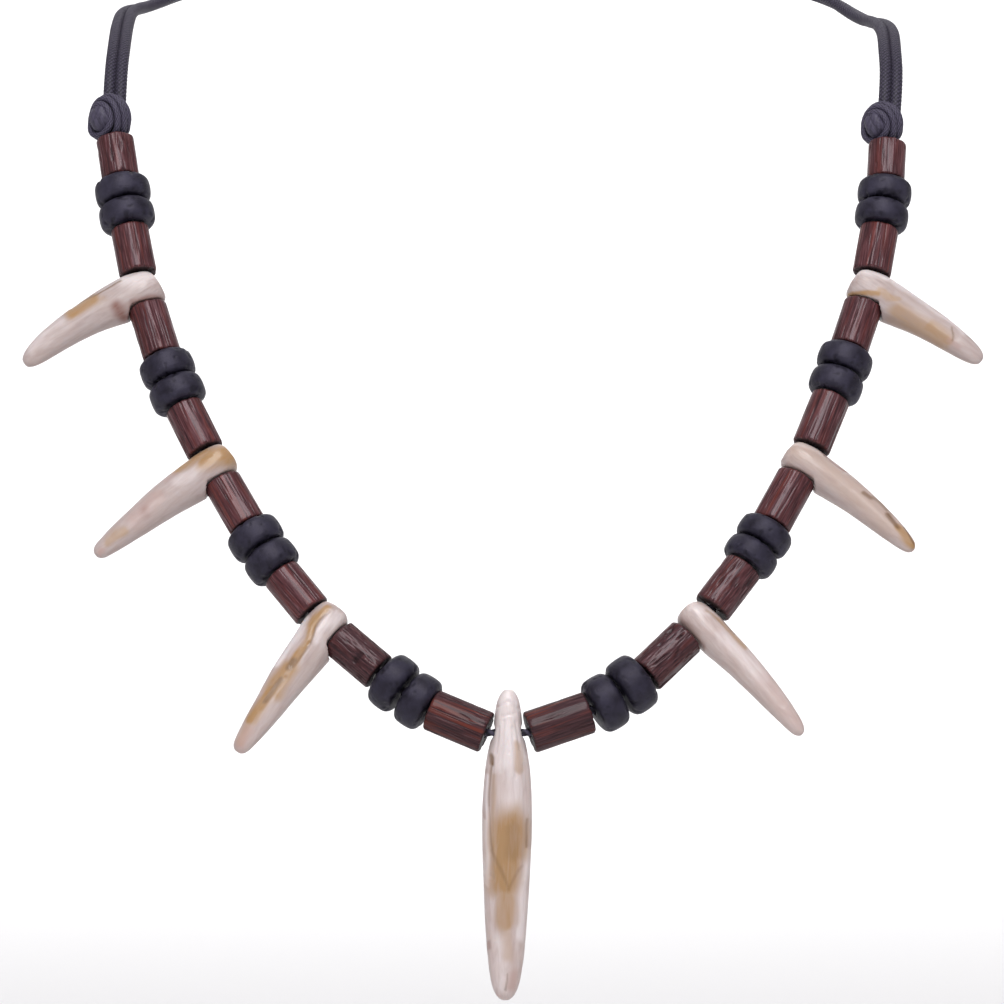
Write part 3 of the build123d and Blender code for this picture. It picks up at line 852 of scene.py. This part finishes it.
# %% Marks on the teeth: stains and grooves
# A mark is a line from one place to another, each place told by its two shares. Its width is in
# millimetres, and half its strength is left that far from the line.
Mark = namedtuple("Mark", "start_along start_across end_along end_across width strength")
# The white marks are partly pale patches and partly painted highlights on the root tops and ridges. The red
# marks near the root, on the edges beside the tubes, are painted reflection and shadow of the red wood; the
# others are reddish stains.
MARKS = {
    "left_1": {
        "brown": [(0.20, 0.62, 0.37, 0.70, 0.22, 0.70), (0.37, 0.70, 0.53, 0.88, 0.24, 0.60)],
        "tan": [(0.42, 0.50, 0.58, 0.56, 1.05, 0.90), (0.36, 0.25, 0.46, 0.30, 0.50, 0.35)],
        "red": [(0.32, -0.45, 0.29, -0.90, 0.95, 0.85), (0.08, -0.90, 0.27, -0.90, 0.45, 0.65)],
        "white": [(0.04, 0.50, 0.16, 0.50, 1.30, 0.80), (0.68, 0.50, 0.90, 0.60, 0.70, 0.50)],
        "groove": [(0.20, 0.72, 0.37, 0.80, 0.30, 0.60), (0.37, 0.80, 0.55, 0.90, 0.30, 0.50)],
    },
    "left_2": {
        "tan": [(0.03, -0.10, 0.13, 0.15, 1.70, 1.00), (0.12, 0.50, 0.30, 0.85, 0.90, 0.90),
                (0.80, -0.10, 0.89, 0.00, 0.70, 0.55)],
        "red": [(0.62, 0.00, 0.63, -0.10, 0.65, 0.45)],
        "blush": [(0.52, 0.20, 0.70, 0.00, 1.10, 0.50), (0.95, -0.30, 0.97, -0.30, 0.50, 0.70),
                  (0.34, 0.70, 0.40, 0.70, 0.50, 0.50)],
        "white": [(0.20, 0.10, 0.36, 0.20, 0.70, 0.40), (0.01, 0.80, 0.05, 0.90, 0.40, 0.60)],
        "groove": [(0.12, 0.30, 0.30, 0.55, 0.40, 0.40), (0.50, 0.10, 0.85, 0.10, 0.70, 0.30)],
    },
    "left_3": {
        "tan": [(0.03, 0.35, 0.22, 0.25, 0.62, 1.00), (0.22, 0.25, 0.42, 0.10, 0.55, 1.00),
                (0.46, 0.12, 0.62, 0.20, 1.25, 1.00), (0.64, 0.30, 0.80, 0.40, 0.90, 1.00),
                (0.80, 0.40, 0.95, 0.30, 0.65, 0.50)],
        "brown": [(0.08, 0.06, 0.28, 0.00, 0.20, 0.45), (0.28, 0.00, 0.43, 0.02, 0.20, 0.50),
                  (0.40, 0.12, 0.45, 0.08, 0.42, 0.75), (0.54, 0.00, 0.70, 0.22, 0.34, 0.75)],
        "blush": [(0.86, 0.10, 0.97, 0.10, 0.80, 0.60)],
        "white": [(0.16, 0.78, 0.46, 0.80, 0.55, 0.90), (0.05, -0.50, 0.24, -0.30, 0.60, 0.70)],
        "groove": [(0.06, 0.10, 0.28, 0.00, 0.30, 0.60), (0.28, 0.00, 0.44, 0.05, 0.30, 0.80),
                   (0.52, 0.00, 0.74, 0.25, 0.35, 0.50)],
    },
    "right_1": {
        "tan": [(0.05, -0.90, 0.20, -0.45, 0.36, 0.90), (0.20, -0.40, 0.34, 0.00, 0.42, 0.60),
                (0.36, -0.55, 0.70, -0.70, 1.25, 0.65), (0.60, -0.40, 0.75, -0.45, 0.85, 0.80)],
        "brown": [(0.73, 0.35, 0.78, -0.20, 0.14, 0.60)],
        "blush": [(0.76, -0.30, 0.84, -0.40, 0.50, 0.50)],
        "white": [(0.03, 0.50, 0.16, 0.60, 0.70, 0.90), (0.16, 0.75, 0.80, 0.70, 0.42, 0.60)],
        "groove": [(0.30, 0.10, 0.78, 0.10, 0.60, 0.50)],
    },
    "right_2": {
        "red": [(0.17, 0.80, 0.36, 0.90, 0.15, 0.70), (0.06, -0.90, 0.24, -0.90, 0.30, 0.40)],
        "brown": [(0.54, 0.42, 0.60, 0.50, 0.34, 0.70), (0.60, 0.62, 0.70, 0.72, 0.26, 0.60),
                  (0.73, 0.50, 0.84, 0.10, 0.36, 0.90), (0.86, 0.85, 0.98, 0.60, 0.16, 0.70)],
        "tan": [(0.85, 0.10, 0.98, 0.10, 0.80, 1.00), (0.05, 0.20, 0.80, 0.00, 1.60, 0.25),
                (0.10, 0.30, 0.20, 0.40, 0.70, 0.25)],
        "white": [(0.04, 0.60, 0.18, 0.70, 0.50, 0.60)],
        "groove": [(0.20, 0.78, 0.36, 0.70, 0.30, 0.70), (0.60, 0.50, 0.85, 0.35, 0.40, 0.50)],
    },
    "right_3": {
        "tan": [(0.12, 0.45, 0.22, 0.60, 0.36, 0.50), (0.20, 0.60, 0.40, 0.80, 0.40, 0.70)],
        "brown": [(0.20, 0.85, 0.30, 0.90, 0.16, 0.60)],
        "red": [(0.04, -0.80, 0.24, -0.90, 0.36, 0.50)],
        "blush": [(0.62, 0.20, 0.95, 0.10, 0.90, 0.30)],
        "white": [(0.04, 0.20, 0.14, 0.40, 0.60, 0.60), (0.30, 0.10, 0.60, 0.30, 0.90, 0.50)],
        "groove": [(0.10, 0.60, 0.28, 0.70, 0.30, 0.70), (0.30, 0.20, 0.80, 0.20, 0.60, 0.50)],
    },
    "centre": {
        "tan": [(0.44, 0.10, 0.51, 0.06, 2.70, 1.00), (0.51, -0.02, 0.62, -0.12, 2.20, 1.00),
                (0.64, -0.05, 0.74, 0.00, 1.40, 0.75), (0.74, 0.00, 0.85, 0.05, 0.70, 0.35),
                (0.17, 0.45, 0.25, 0.55, 0.50, 0.50), (0.27, -0.52, 0.44, -0.52, 0.34, 0.45)],
        "brown": [(0.44, 0.25, 0.53, 0.20, 0.80, 0.25), (0.215, -0.78, 0.235, -0.70, 0.34, 0.90),
                  (0.24, -0.72, 0.37, -0.70, 0.18, 0.60), (0.37, -0.70, 0.53, -0.58, 0.16, 0.40),
                  (0.40, 0.84, 0.50, 0.78, 0.18, 0.50), (0.52, -0.60, 0.63, 0.00, 0.24, 0.32),
                  (0.57, 0.60, 0.64, 0.02, 0.24, 0.28), (0.90, 0.05, 0.97, 0.00, 0.13, 0.50)],
        "blush": [(0.90, 0.45, 0.95, 0.35, 0.70, 0.70)],
        "red": [(0.81, -0.90, 0.83, -0.90, 0.30, 0.50), (0.26, -0.95, 0.42, -0.95, 0.22, 0.40)],
        "white": [(0.00, 0.00, 0.22, 0.00, 2.00, 0.90), (0.26, 0.20, 0.36, 0.20, 1.50, 0.60),
                  (0.28, -0.86, 0.62, -0.84, 0.30, 0.90), (0.52, 0.80, 0.80, 0.70, 0.50, 0.80),
                  (0.80, -0.30, 0.96, -0.20, 0.80, 0.50)],
        "groove": [(0.22, -0.70, 0.60, -0.64, 0.32, 0.90), (0.60, -0.64, 0.80, -0.50, 0.35, 0.50),
                   (0.24, 0.76, 0.60, 0.74, 0.32, 0.80), (0.055, -0.80, 0.035, 0.00, 0.20, 1.00),
                   (0.035, 0.00, 0.06, 0.80, 0.20, 1.00), (0.085, -0.50, 0.075, 0.50, 0.18, 0.70),
                   (0.10, -0.30, 0.26, -0.28, 0.20, 1.00), (0.12, 0.28, 0.28, 0.34, 0.20, 1.00),
                   (0.09, 0.00, 0.20, 0.05, 0.16, 0.80), (0.10, 0.55, 0.19, 0.60, 0.16, 0.80),
                   (0.12, -0.60, 0.20, -0.55, 0.16, 0.80)],
    },
}
SOFTNESS = {"white": 0.95, "tan": 0.65, "blush": 0.9, "red": 0.9, "brown": 0.8, "groove": 0.6}
TOOTH_TONES = {"left_1": 0.83, "left_2": 0.84, "left_3": 0.90, "centre": 1.0,
               "right_1": 0.84, "right_2": 0.92, "right_3": 0.97}
print("marks:", sum(len(rows) for kinds in MARKS.values() for rows in kinds.values()))

# %% Fine copies of the tooth solids
TOOTH_VOXEL = 0.19
WELD_REACH = 0.002
SMOOTH_ROUNDS = 4


def fine_copy(node, name):
    """A fine, even mesh of the solid's shape, with no modifier left on it."""
    rough = show(bpy.data.objects.new(name, frame["nodes"][node].data.copy()))
    weld = rough.modifiers.new("weld", "WELD")
    weld.merge_threshold = WELD_REACH * MM
    remesh = rough.modifiers.new("remesh", "REMESH")
    remesh.mode = "VOXEL"
    remesh.voxel_size = TOOTH_VOXEL * MM
    smooth = rough.modifiers.new("smooth", "SMOOTH")
    smooth.factor = 0.5
    smooth.iterations = SMOOTH_ROUNDS
    mesh = bpy.data.meshes.new_from_object(rough.evaluated_get(bpy.context.evaluated_depsgraph_get()))
    bpy.data.objects.remove(rough)
    mesh.name = name
    mesh.materials.clear()
    mesh.shade_smooth()
    return mesh


# %% Shares along and across a tooth
STRING_LEAN = math.radians(22)
STRING_FRONT = np.array((0, -math.cos(STRING_LEAN), math.sin(STRING_LEAN)))
SLICES = 24
LEAST_HALF = 0.3  # no slice counts as narrower than this, from its middle


def tooth_shares(points, hole):
    """Each point's share along, across and to the front, its place, the length and the half width."""
    tip = points[np.argmax(np.linalg.norm(points - hole, axis=1))]
    along = unit(tip - hole)
    front = square_to(STRING_FRONT, along)
    up = np.cross(front, along)
    up = up if up[2] > 0.05 or (abs(up[2]) < 0.05 and up[0] > 0) else -up
    local = np.stack([(points - hole) @ axis for axis in (along, up, front)], -1)
    length = local[:, 0].max() - local[:, 0].min()
    share = (local[:, 0] - local[:, 0].min()) / length
    slices = np.linspace(0, 1, SLICES + 1)
    in_slice = np.clip(np.digitize(share, slices) - 1, 0, SLICES - 1)
    chosen = [local[in_slice == i][:, 1:] for i in range(SLICES)]
    middles = (slices[1:] + slices[:-1]) / 2
    low = np.array([found.min(0) for found in chosen])
    high = np.array([found.max(0) for found in chosen])
    low = np.stack([np.interp(share, middles, low[:, i]) for i in range(2)], -1)
    high = np.stack([np.interp(share, middles, high[:, i]) for i in range(2)], -1)
    half = np.maximum((high - low) / 2, LEAST_HALF)
    across = (local[:, 1:] - (low + high) / 2) / half
    return share, across[:, 0], across[:, 1], local, length, half[:, 0]


# %% How strong a mark is at each point
RAGGED_REACH = 0.45  # how far a ragged edge strays, of the mark's width
RAGGED_WIDTH = 0.6  # wider marks stray no further than one of this width


def mark_mask(kind, mark, share, across, length, half_width, ragged=0):
    """The mark's full strength on its line, fading out to each side over a ragged edge."""
    start = np.array((mark.start_along * length, mark.start_across))
    end = np.array((mark.end_along * length, mark.end_across))
    spot = np.stack([share * length, across], -1)
    scale = np.stack([np.ones_like(half_width), half_width], -1)
    to_spot = (spot - start) * scale
    run = (end - start) * scale
    gone = np.clip((to_spot * run).sum(1) / np.maximum((run ** 2).sum(1), 1e-9), 0, 1)
    away = np.linalg.norm(to_spot - run * gone[:, None], axis=1)
    away = away + ragged * min(mark.width, RAGGED_WIDTH) * RAGGED_REACH
    soft = mark.width * SOFTNESS[kind]
    return mark.strength * (1 - smooth_step(mark.width - soft, mark.width + soft, away))


# %% A dressed tooth
GROOVE_DEPTH = 0.14
DEEPEST_GROOVE = 1.2  # where grooves meet, they go no deeper than this many times that
STRAY = (0.9, 0.45)  # how far the stains stray along and across, in millimetres
BACK_STAIN = 0.6
FRONT_EDGE = (-0.5, 0.2)  # marks fade in between these shares to the front
HOLE_EDGE = (1.1, 1.9)  # the surface stays smooth nearer to the hole than this
WRINKLE_EDGE = (0.14, 0.34)  # the root's wrinkles fade out between these shares along


def dressed_tooth(label, node, hole, body):
    """One tooth: the solid's fine copy with its grooves pressed in and its stains stored."""
    mesh = fine_copy(node, f"polished_tooth_{label}")
    points = points_of(mesh)
    share, across, depth, local, length, half_width = tooth_shares(points, hole)
    facing = smooth_step(*FRONT_EDGE, depth)
    seed = random.Random(label).uniform(0, 50)

    def grain(along, size, shift):
        """Noise that is drawn out along the tooth."""
        return noise_on(local * (along, 1, 1), size, seed + shift)

    def masks(kind, share, across, ragged=0):
        """The strength of each mark of a kind."""
        return [mark_mask(kind, Mark(*row), share, across, length, half_width, ragged)
                for row in MARKS[label].get(kind, [])]

    groove = sum(masks("groove", share, across)) * facing
    ripple = 0.05 * grain(0.25, 1.4, 0) + 0.02 * grain(0.4, 0.6, 1)
    from_hole = np.abs(local[:, 2]) + np.abs(local[:, 0])
    push = (ripple - GROOVE_DEPTH * np.clip(groove, 0, DEEPEST_GROOVE)) * smooth_step(*HOLE_EDGE, from_hole)
    normals = np.array([v.normal for v in mesh.vertices])
    moved = (points + normals * push[:, None]) * MM
    mesh.vertices.foreach_set("co", moved.astype(np.float32).ravel())
    mesh.update()

    ragged = grain(0.16, 0.8, 2) + 0.5 * grain(0.2, 0.35, 3)
    share_there = share + STRAY[0] / length * grain(0.5, 2.2, 5)
    across_there = across + STRAY[1] / half_width * grain(0.4, 1.7, 6)
    behind = BACK_STAIN * smooth_step(0.10, 0.45, grain(0.3, 2.5, 4)) * (1 - facing)
    for kind in TOOTH_STAINS_AND_PAINTED_LIGHT:
        found = masks(kind, share_there, across_there, ragged)
        rest = behind if kind == "tan" else 0 * share
        store(mesh, kind, np.maximum(np.max(found + [0 * share], axis=0) * facing, rest))
    store(mesh, "local", local + seed)
    store(mesh, "tone", np.full(len(share), TOOTH_TONES[label]))
    store(mesh, "wrinkle", 1 - smooth_step(*WRINKLE_EDGE, share) * 0.9)
    print(mesh.name, "is", round(length, 1), "mm long, with", len(mesh.polygons), "faces")
    return add_piece(mesh.name, mesh, tooth_finish, "tooth", body, node)


# %% Seven teeth
TUBES_BESIDE = {1: (2, 3), 2: (4, 5), 3: (6, 7)}
swing = next(joint for joint in frame["joints"] if joint["name"] == "centre_tooth_swing")
centre_hole = np.array(swing["pos_m"]) / MM
dressed_tooth("centre", "centre_tooth", centre_hole, "tooth")
for side in SIDES:
    for number, (above, below) in TUBES_BESIDE.items():
        upper, lower = tube_seats[side, above], tube_seats[side, below]
        hole = (upper.middle - upper.along * upper.half + lower.middle + lower.along * lower.half) / 2
        dressed_tooth(f"{side}_{number}", f"tooth_{side}_{number}", hole, BODY)

# %% [markdown]
# ## Ball knots
# Above the top tubes the thread and the cords are tied into a ball. A true knot could be drawn as one
# long line through itself, but pulled tight it hides most of its line, and what shows is strands
# that lie side by side. Those are easiest to build as rings round a pole that faces left and
# forward: one spiral from ring to ring, and a few short strands that lie over the pole and tuck in
# under the first ring.

# %% A ball for the knot
KNOT_SAG = 0.12  # how far the dressed ball hangs below the solid one
KNOT_SWELL = 1.05
KNOT_RISE = {"left": 1.22, "right": 1.08}  # how far each ball is drawn up towards its cords
KNOT_LOBE = np.array((-0.72, -0.25, -0.65))
LOBE_SWELL = 0.13
SQUARENESS = 3.2  # 2 would leave the ball's lower half round


def on_ball(middle, pole, radius, fall, turn):
    """Points on a ball, by their angle from the pole and their turn round it, in radians."""
    pole = unit(pole)
    side = unit(np.cross(pole, (0, 0, 1.0)))
    up = np.cross(side, pole)
    toward = (np.cos(fall)[:, None] * pole + (np.sin(fall) * np.cos(turn))[:, None] * side
              + (np.sin(fall) * np.sin(turn))[:, None] * up)
    return middle + np.reshape(radius, (-1, 1)) * toward


def ball_of(node):
    """Middle and radius of a knot's ball, from the solid's widest part."""
    points = points_of(frame["nodes"][node].data)
    at_low, at_high = points[points[:, 0].argmin()], points[points[:, 0].argmax()]
    middle = (at_low + at_high) / 2
    return middle - (0, 0, KNOT_SAG), (at_high[0] - at_low[0]) / 2 * KNOT_SWELL


def settled(points, middle, ball, stretch):
    """The ball slumps: it is drawn up at the top, square at the bottom, and has a lobe at one side."""
    away = (points - middle) / ball
    reach = np.linalg.norm(away, axis=1)
    flat = np.linalg.norm(away[:, :2], axis=1) / reach
    rise = away[:, 2] / reach
    square = (flat ** SQUARENESS + np.abs(rise) ** SQUARENESS) ** (-1 / SQUARENESS)
    low = 1 - smooth_step(-0.6, 0.1, rise)
    away = away * (1 + (square - 1) * low)[:, None]
    away[:, 2] *= 1 + (stretch - 1) * smooth_step(-0.1, 0.5, rise)
    lobe = smooth_step(0.25, 1.0, away @ KNOT_LOBE)
    return middle + ball * (away + LOBE_SWELL * lobe[:, None] * KNOT_LOBE)


# %% Strands of a knot
KNOT_POLE = {"left": np.array((-0.62, -0.78, -0.05)), "right": np.array((-0.58, -0.80, -0.12))}
KNOT_STRAND = 1.0
# How much lighter the knot's strands are painted, as a painted sheen over the whole knot.
KNOT_SHEEN_LIFT = 0.22
SPIRAL_POINTS = 700
SPIRAL_START = 1.0  # radians round the pole
SPIRAL_TURNS = 5.3
SPIRAL_FALL = (36, 124)  # degrees from the pole at its start, and how many more it goes
Fold = namedtuple("Fold", "aside thick")  # degrees aside of the pole, and thickness
KNOT_FOLDS = {"left": [Fold(-12, 3.0), Fold(14, 2.5)], "right": [Fold(-11, 2.5), Fold(13, 1.75)]}
FOLD_REACH = 30  # degrees from the pole to each end of a fold
FOLD_LIE = (0.5, 0.85)  # a fold's direction, round the pole's side and up
FOLD_STANDS = 0.12
TUCK_DEPTH = 0.8
FOLD_DEPTH = BRAID_DEPTH * 0.35
CORE_ROWS = 26
CORE_AROUND = 24
CORE_INSET = 0.25


def spiral(middle, ball, pole):
    """One strand from ring to ring, from near the pole to the far side."""
    share = np.linspace(0, 1, SPIRAL_POINTS)
    fall = np.radians(SPIRAL_FALL[0] + SPIRAL_FALL[1] * share)
    turn = 2 * math.pi * SPIRAL_TURNS * share + SPIRAL_START
    return on_ball(middle, pole, ball - KNOT_STRAND / 2 + 0 * share, fall, turn)


def fold(middle, ball, pole, aside, thick):
    """A short strand over the pole, tucked in at both ends."""
    run = np.linspace(-1, 1, 60)
    flat = np.stack([run * FOLD_REACH * FOLD_LIE[0] - aside * FOLD_LIE[1],
                     run * FOLD_REACH * FOLD_LIE[1] + aside * FOLD_LIE[0]], -1)
    fall = np.radians(np.linalg.norm(flat, axis=1))
    turn = np.arctan2(flat[:, 1], flat[:, 0])
    tuck = TUCK_DEPTH * smooth_step(0.6, 1.0, np.abs(run))
    return on_ball(middle, pole, ball - thick / 2 + FOLD_STANDS - tuck, fall, turn)


def knot_core(middle, ball, pole, rise):
    """A ball inside the strands, painted as dark as the shade in their gaps, so that no gap shows through.
    """
    turn = np.linspace(0, 2 * math.pi, CORE_AROUND + 1)[:-1]
    inside = np.full(CORE_AROUND, ball - KNOT_STRAND / 2 - CORE_INSET)
    rows = [on_ball(middle, pole, inside, np.full(CORE_AROUND, fall), turn)
            for fall in np.radians(np.linspace(20, 176, CORE_ROWS))]
    points = settled(np.concatenate(rows), middle, ball, rise)
    mesh = ring_mesh("core", points.reshape(CORE_ROWS, CORE_AROUND, 3) * MM)
    # A crown far below the gaps paints the core near black: painted shade inside the knot.
    store(mesh, "crown", np.full(len(points), -0.5))
    store(mesh, "along", np.zeros((len(points), 3)))
    return mesh


def join_meshes(name, meshes):
    """Several meshes with the same stored numbers, as one."""
    parts = [show(bpy.data.objects.new(f"{name}_{i}", mesh)) for i, mesh in enumerate(meshes)]
    with bpy.context.temp_override(active_object=parts[0], selected_editable_objects=parts,
                                   selected_objects=parts):
        bpy.ops.object.join()
    mesh = parts[0].data
    mesh.name = name
    bpy.data.objects.remove(parts[0])
    return mesh


# %% Two ball knots
def wound_knot(side):
    node = f"knot_{side}"
    middle, ball = ball_of(node)
    pole = KNOT_POLE[side]
    rise = KNOT_RISE[side]
    strands = [(spiral(middle, ball, pole), KNOT_STRAND, BRAID_DEPTH)]
    strands += [(fold(middle, ball, pole, *each), each.thick, FOLD_DEPTH) for each in KNOT_FOLDS[side]]
    meshes = [knot_core(middle, ball, pole, rise)]
    for line, thick, depth in strands:
        line = even_points(settled(line, middle, ball, rise), CORD_STEP)
        meshes.append(braided_skin(f"wound_{side}", line, thick, depth, KNOT_SHEEN_LIFT))
    for which in ("outer", "inner"):
        start = cords[f"{side}_{which}"][1][0]
        meshes.append(braided_skin(f"stub_{side}", np.linspace(start, middle, 12), KNOT_STRAND))
    mesh = join_meshes(f"wound_knot_{side}", meshes)
    print(mesh.name, "has a ball of", round(2 * ball, 1), "mm, with", len(mesh.polygons), "faces")
    return add_piece(mesh.name, mesh, cord_finish, "black_cord", BODY, node)


for side in SIDES:
    wound_knot(side)

# %% [markdown]
# ## Closing knot
# At the back the two pairs of strands run into one wrapped knot that slides to set the length.
# Nothing shows it in the photograph, so it is the plain usual one: a helix of cord, pulled tight
# round the strands.

# %% Closing knot
SLIDE_TURNS = 7
TURN_POINTS = 60
CORE_ENDS = 0.2  # how far the core stays inside the wraps at each end


def wrapped_nape_knot():
    low, high = (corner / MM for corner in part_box("nape_slide_knot"))
    middle = (low + high) / 2
    radius = (high.z - low.z) / 2 - CORD_DIAMETER / 2
    pitch = (high.x - low.x) / SLIDE_TURNS
    t = np.linspace(-0.5, 0.5, TURN_POINTS * SLIDE_TURNS)
    turn = 2 * math.pi * SLIDE_TURNS * t
    half = (high.x - low.x - pitch) / 2
    line = np.stack([middle.x + 2 * half * t, middle.y + radius * np.cos(turn),
                     middle.z + radius * np.sin(turn)], -1)
    wraps = braided_skin("wraps", even_points(line, CORD_STEP), CORD_DIAMETER)
    ends = [(x, middle.y, middle.z) for x in (low.x + CORE_ENDS, high.x - CORE_ENDS)]
    core = braided_skin("core", np.linspace(*ends, 40), 2 * radius)
    mesh = join_meshes("wrapped_nape_knot", [wraps, core])
    return add_piece(mesh.name, mesh, cord_finish, "black_cord", BODY, "nape_slide_knot")


nape_knot = wrapped_nape_knot()
print("closing knot:", len(nape_knot.data.polygons), "faces")

# %% [markdown]
# ## Bead thread
# One waxed thread of two plies runs through everything. Two helices could show its plies, but it is
# seen only beside the middle tooth and in the thin gaps. One round skin with a twist in its radius
# is enough there. Its line passes through both ends of each bore.

# %% Bead thread
THREAD_DIAMETER = 1.1
THREAD_TWIST = 2.6  # along the thread, one turn of a ply
THREAD_STEP = 0.3
THREAD_AROUND = 16
PLY_GAP = 0.2  # how far the groove between the plies goes in, of the radius
PAST_TOP = 1.2  # how far the thread goes on above the top tubes


def thread_line():
    """The thread's points from the left knot, through the middle tooth, to the right knot."""
    halves = []
    for side in SIDES:
        seats = [found[side, n] for found in (tube_seats, disc_seats) for n in NUMBERS]
        ends = [seat.middle + seat.along * (seat.half * way) for seat in seats for way in (1, -1)]
        top = tube_seats[side, 1]
        ends.append(top.middle + top.along * (top.half + PAST_TOP))
        halves.append(sorted(ends, key=lambda point: -point[2]))
    return np.array(halves[0] + [centre_hole] + halves[1][::-1])


def twisted_thread():
    line = even_points(thread_line(), THREAD_STEP)
    gone = np.arange(len(line))[:, None] * THREAD_STEP
    angle = 2 * math.pi * np.arange(THREAD_AROUND)[None, :] / THREAD_AROUND
    # How high a ply stands: the cord finish paints painted shade into the groove and a painted sheen onto
    # the plies.
    crown = np.abs(np.cos(angle - 2 * math.pi * gone / THREAD_TWIST))
    radius = THREAD_DIAMETER / 2 * (1 - PLY_GAP + PLY_GAP * crown)
    mesh = round_skin("twisted_thread", line, gone, angle, radius, crown)
    return add_piece("twisted_thread", mesh, cord_finish, "black_cord", BODY, "bead_thread")


thread = twisted_thread()
print("thread:", len(thread.data.polygons), "faces")

# %% [markdown]
# ## Floor and light
# The photograph has a plain white ground and one broad light from above and in front. A pale sweep,
# which is a floor that curves up into a wall, gives that ground with no line across it. A second
# lamp lights only the wall.

# %% Pale sweep, in metres
FLOOR_Z = -0.21
SWEEP_REACH = 3.0  # to each side, to the front, and up the wall
SWEEP_BACK = 2.2
SWEEP_RADIUS = 0.9
PALE = (0.75, 0.75, 0.75, 1)


def white_sweep():
    bend = np.linspace(0, math.pi / 2, 24)
    profile = [(-SWEEP_REACH, FLOOR_Z)]
    profile += [(SWEEP_BACK - SWEEP_RADIUS + SWEEP_RADIUS * math.sin(a),
                 FLOOR_Z + SWEEP_RADIUS * (1 - math.cos(a))) for a in bend]
    profile += [(SWEEP_BACK, SWEEP_REACH)]
    points = [(x, y, z) for y, z in profile for x in (-SWEEP_REACH, SWEEP_REACH)]
    faces = [(i, i + 1, i + 3, i + 2) for i in range(0, len(points) - 2, 2)]
    mesh = bpy.data.meshes.new("white_sweep")
    mesh.from_pydata(points, [], faces)
    mesh.shade_smooth()
    finish, tree, shader = new_finish("matte_white_paper")
    fibre = add_node(tree, "ShaderNodeTexNoise", {"Scale": 400.0, "Detail": 3.0}).outputs["Fac"]
    relief = add_relief(tree, fibre, 0.05, 0.1)
    set_inputs(tree, shader, {"Base Color": PALE, "Roughness": 0.95, "Normal": relief})
    mesh.materials.append(finish)
    show(bpy.data.objects.new("white_sweep", mesh))
    print("floor:", len(mesh.polygons), "faces")


white_sweep()


# %% Lights
def soft_box(name, at, aim, size, power):
    """A flat lamp that looks at a point. Places and sizes are in metres, and power in watts."""
    lamp = bpy.data.lights.new(name, "AREA")
    lamp.shape = "RECTANGLE"
    lamp.size, lamp.size_y = size
    lamp.energy = power
    box = show(bpy.data.objects.new(name, lamp))
    box.location = at
    box.rotation_euler = (Vector(aim) - Vector(at)).to_track_quat("-Z", "Y").to_euler()
    print(name, "gives", power, "W")


soft_box("key", at=(0.0, -1.15, 1.15), aim=(0, -0.09, -0.09), size=(0.70, 1.20), power=20.0)
soft_box("wall_light", at=(0.0, 0.9, 1.1), aim=(0, 2.1, -0.1), size=(1.6, 0.6), power=30.0)
world = bpy.data.worlds.new("studio")
world.use_nodes = True
background = world.node_tree.nodes["Background"]
set_inputs(world.node_tree, background, {"Color": (0.99, 0.95, 1.0, 1), "Strength": 0.38})
bpy.context.scene.world = world
bpy.context.scene.view_settings.view_transform = "Standard"
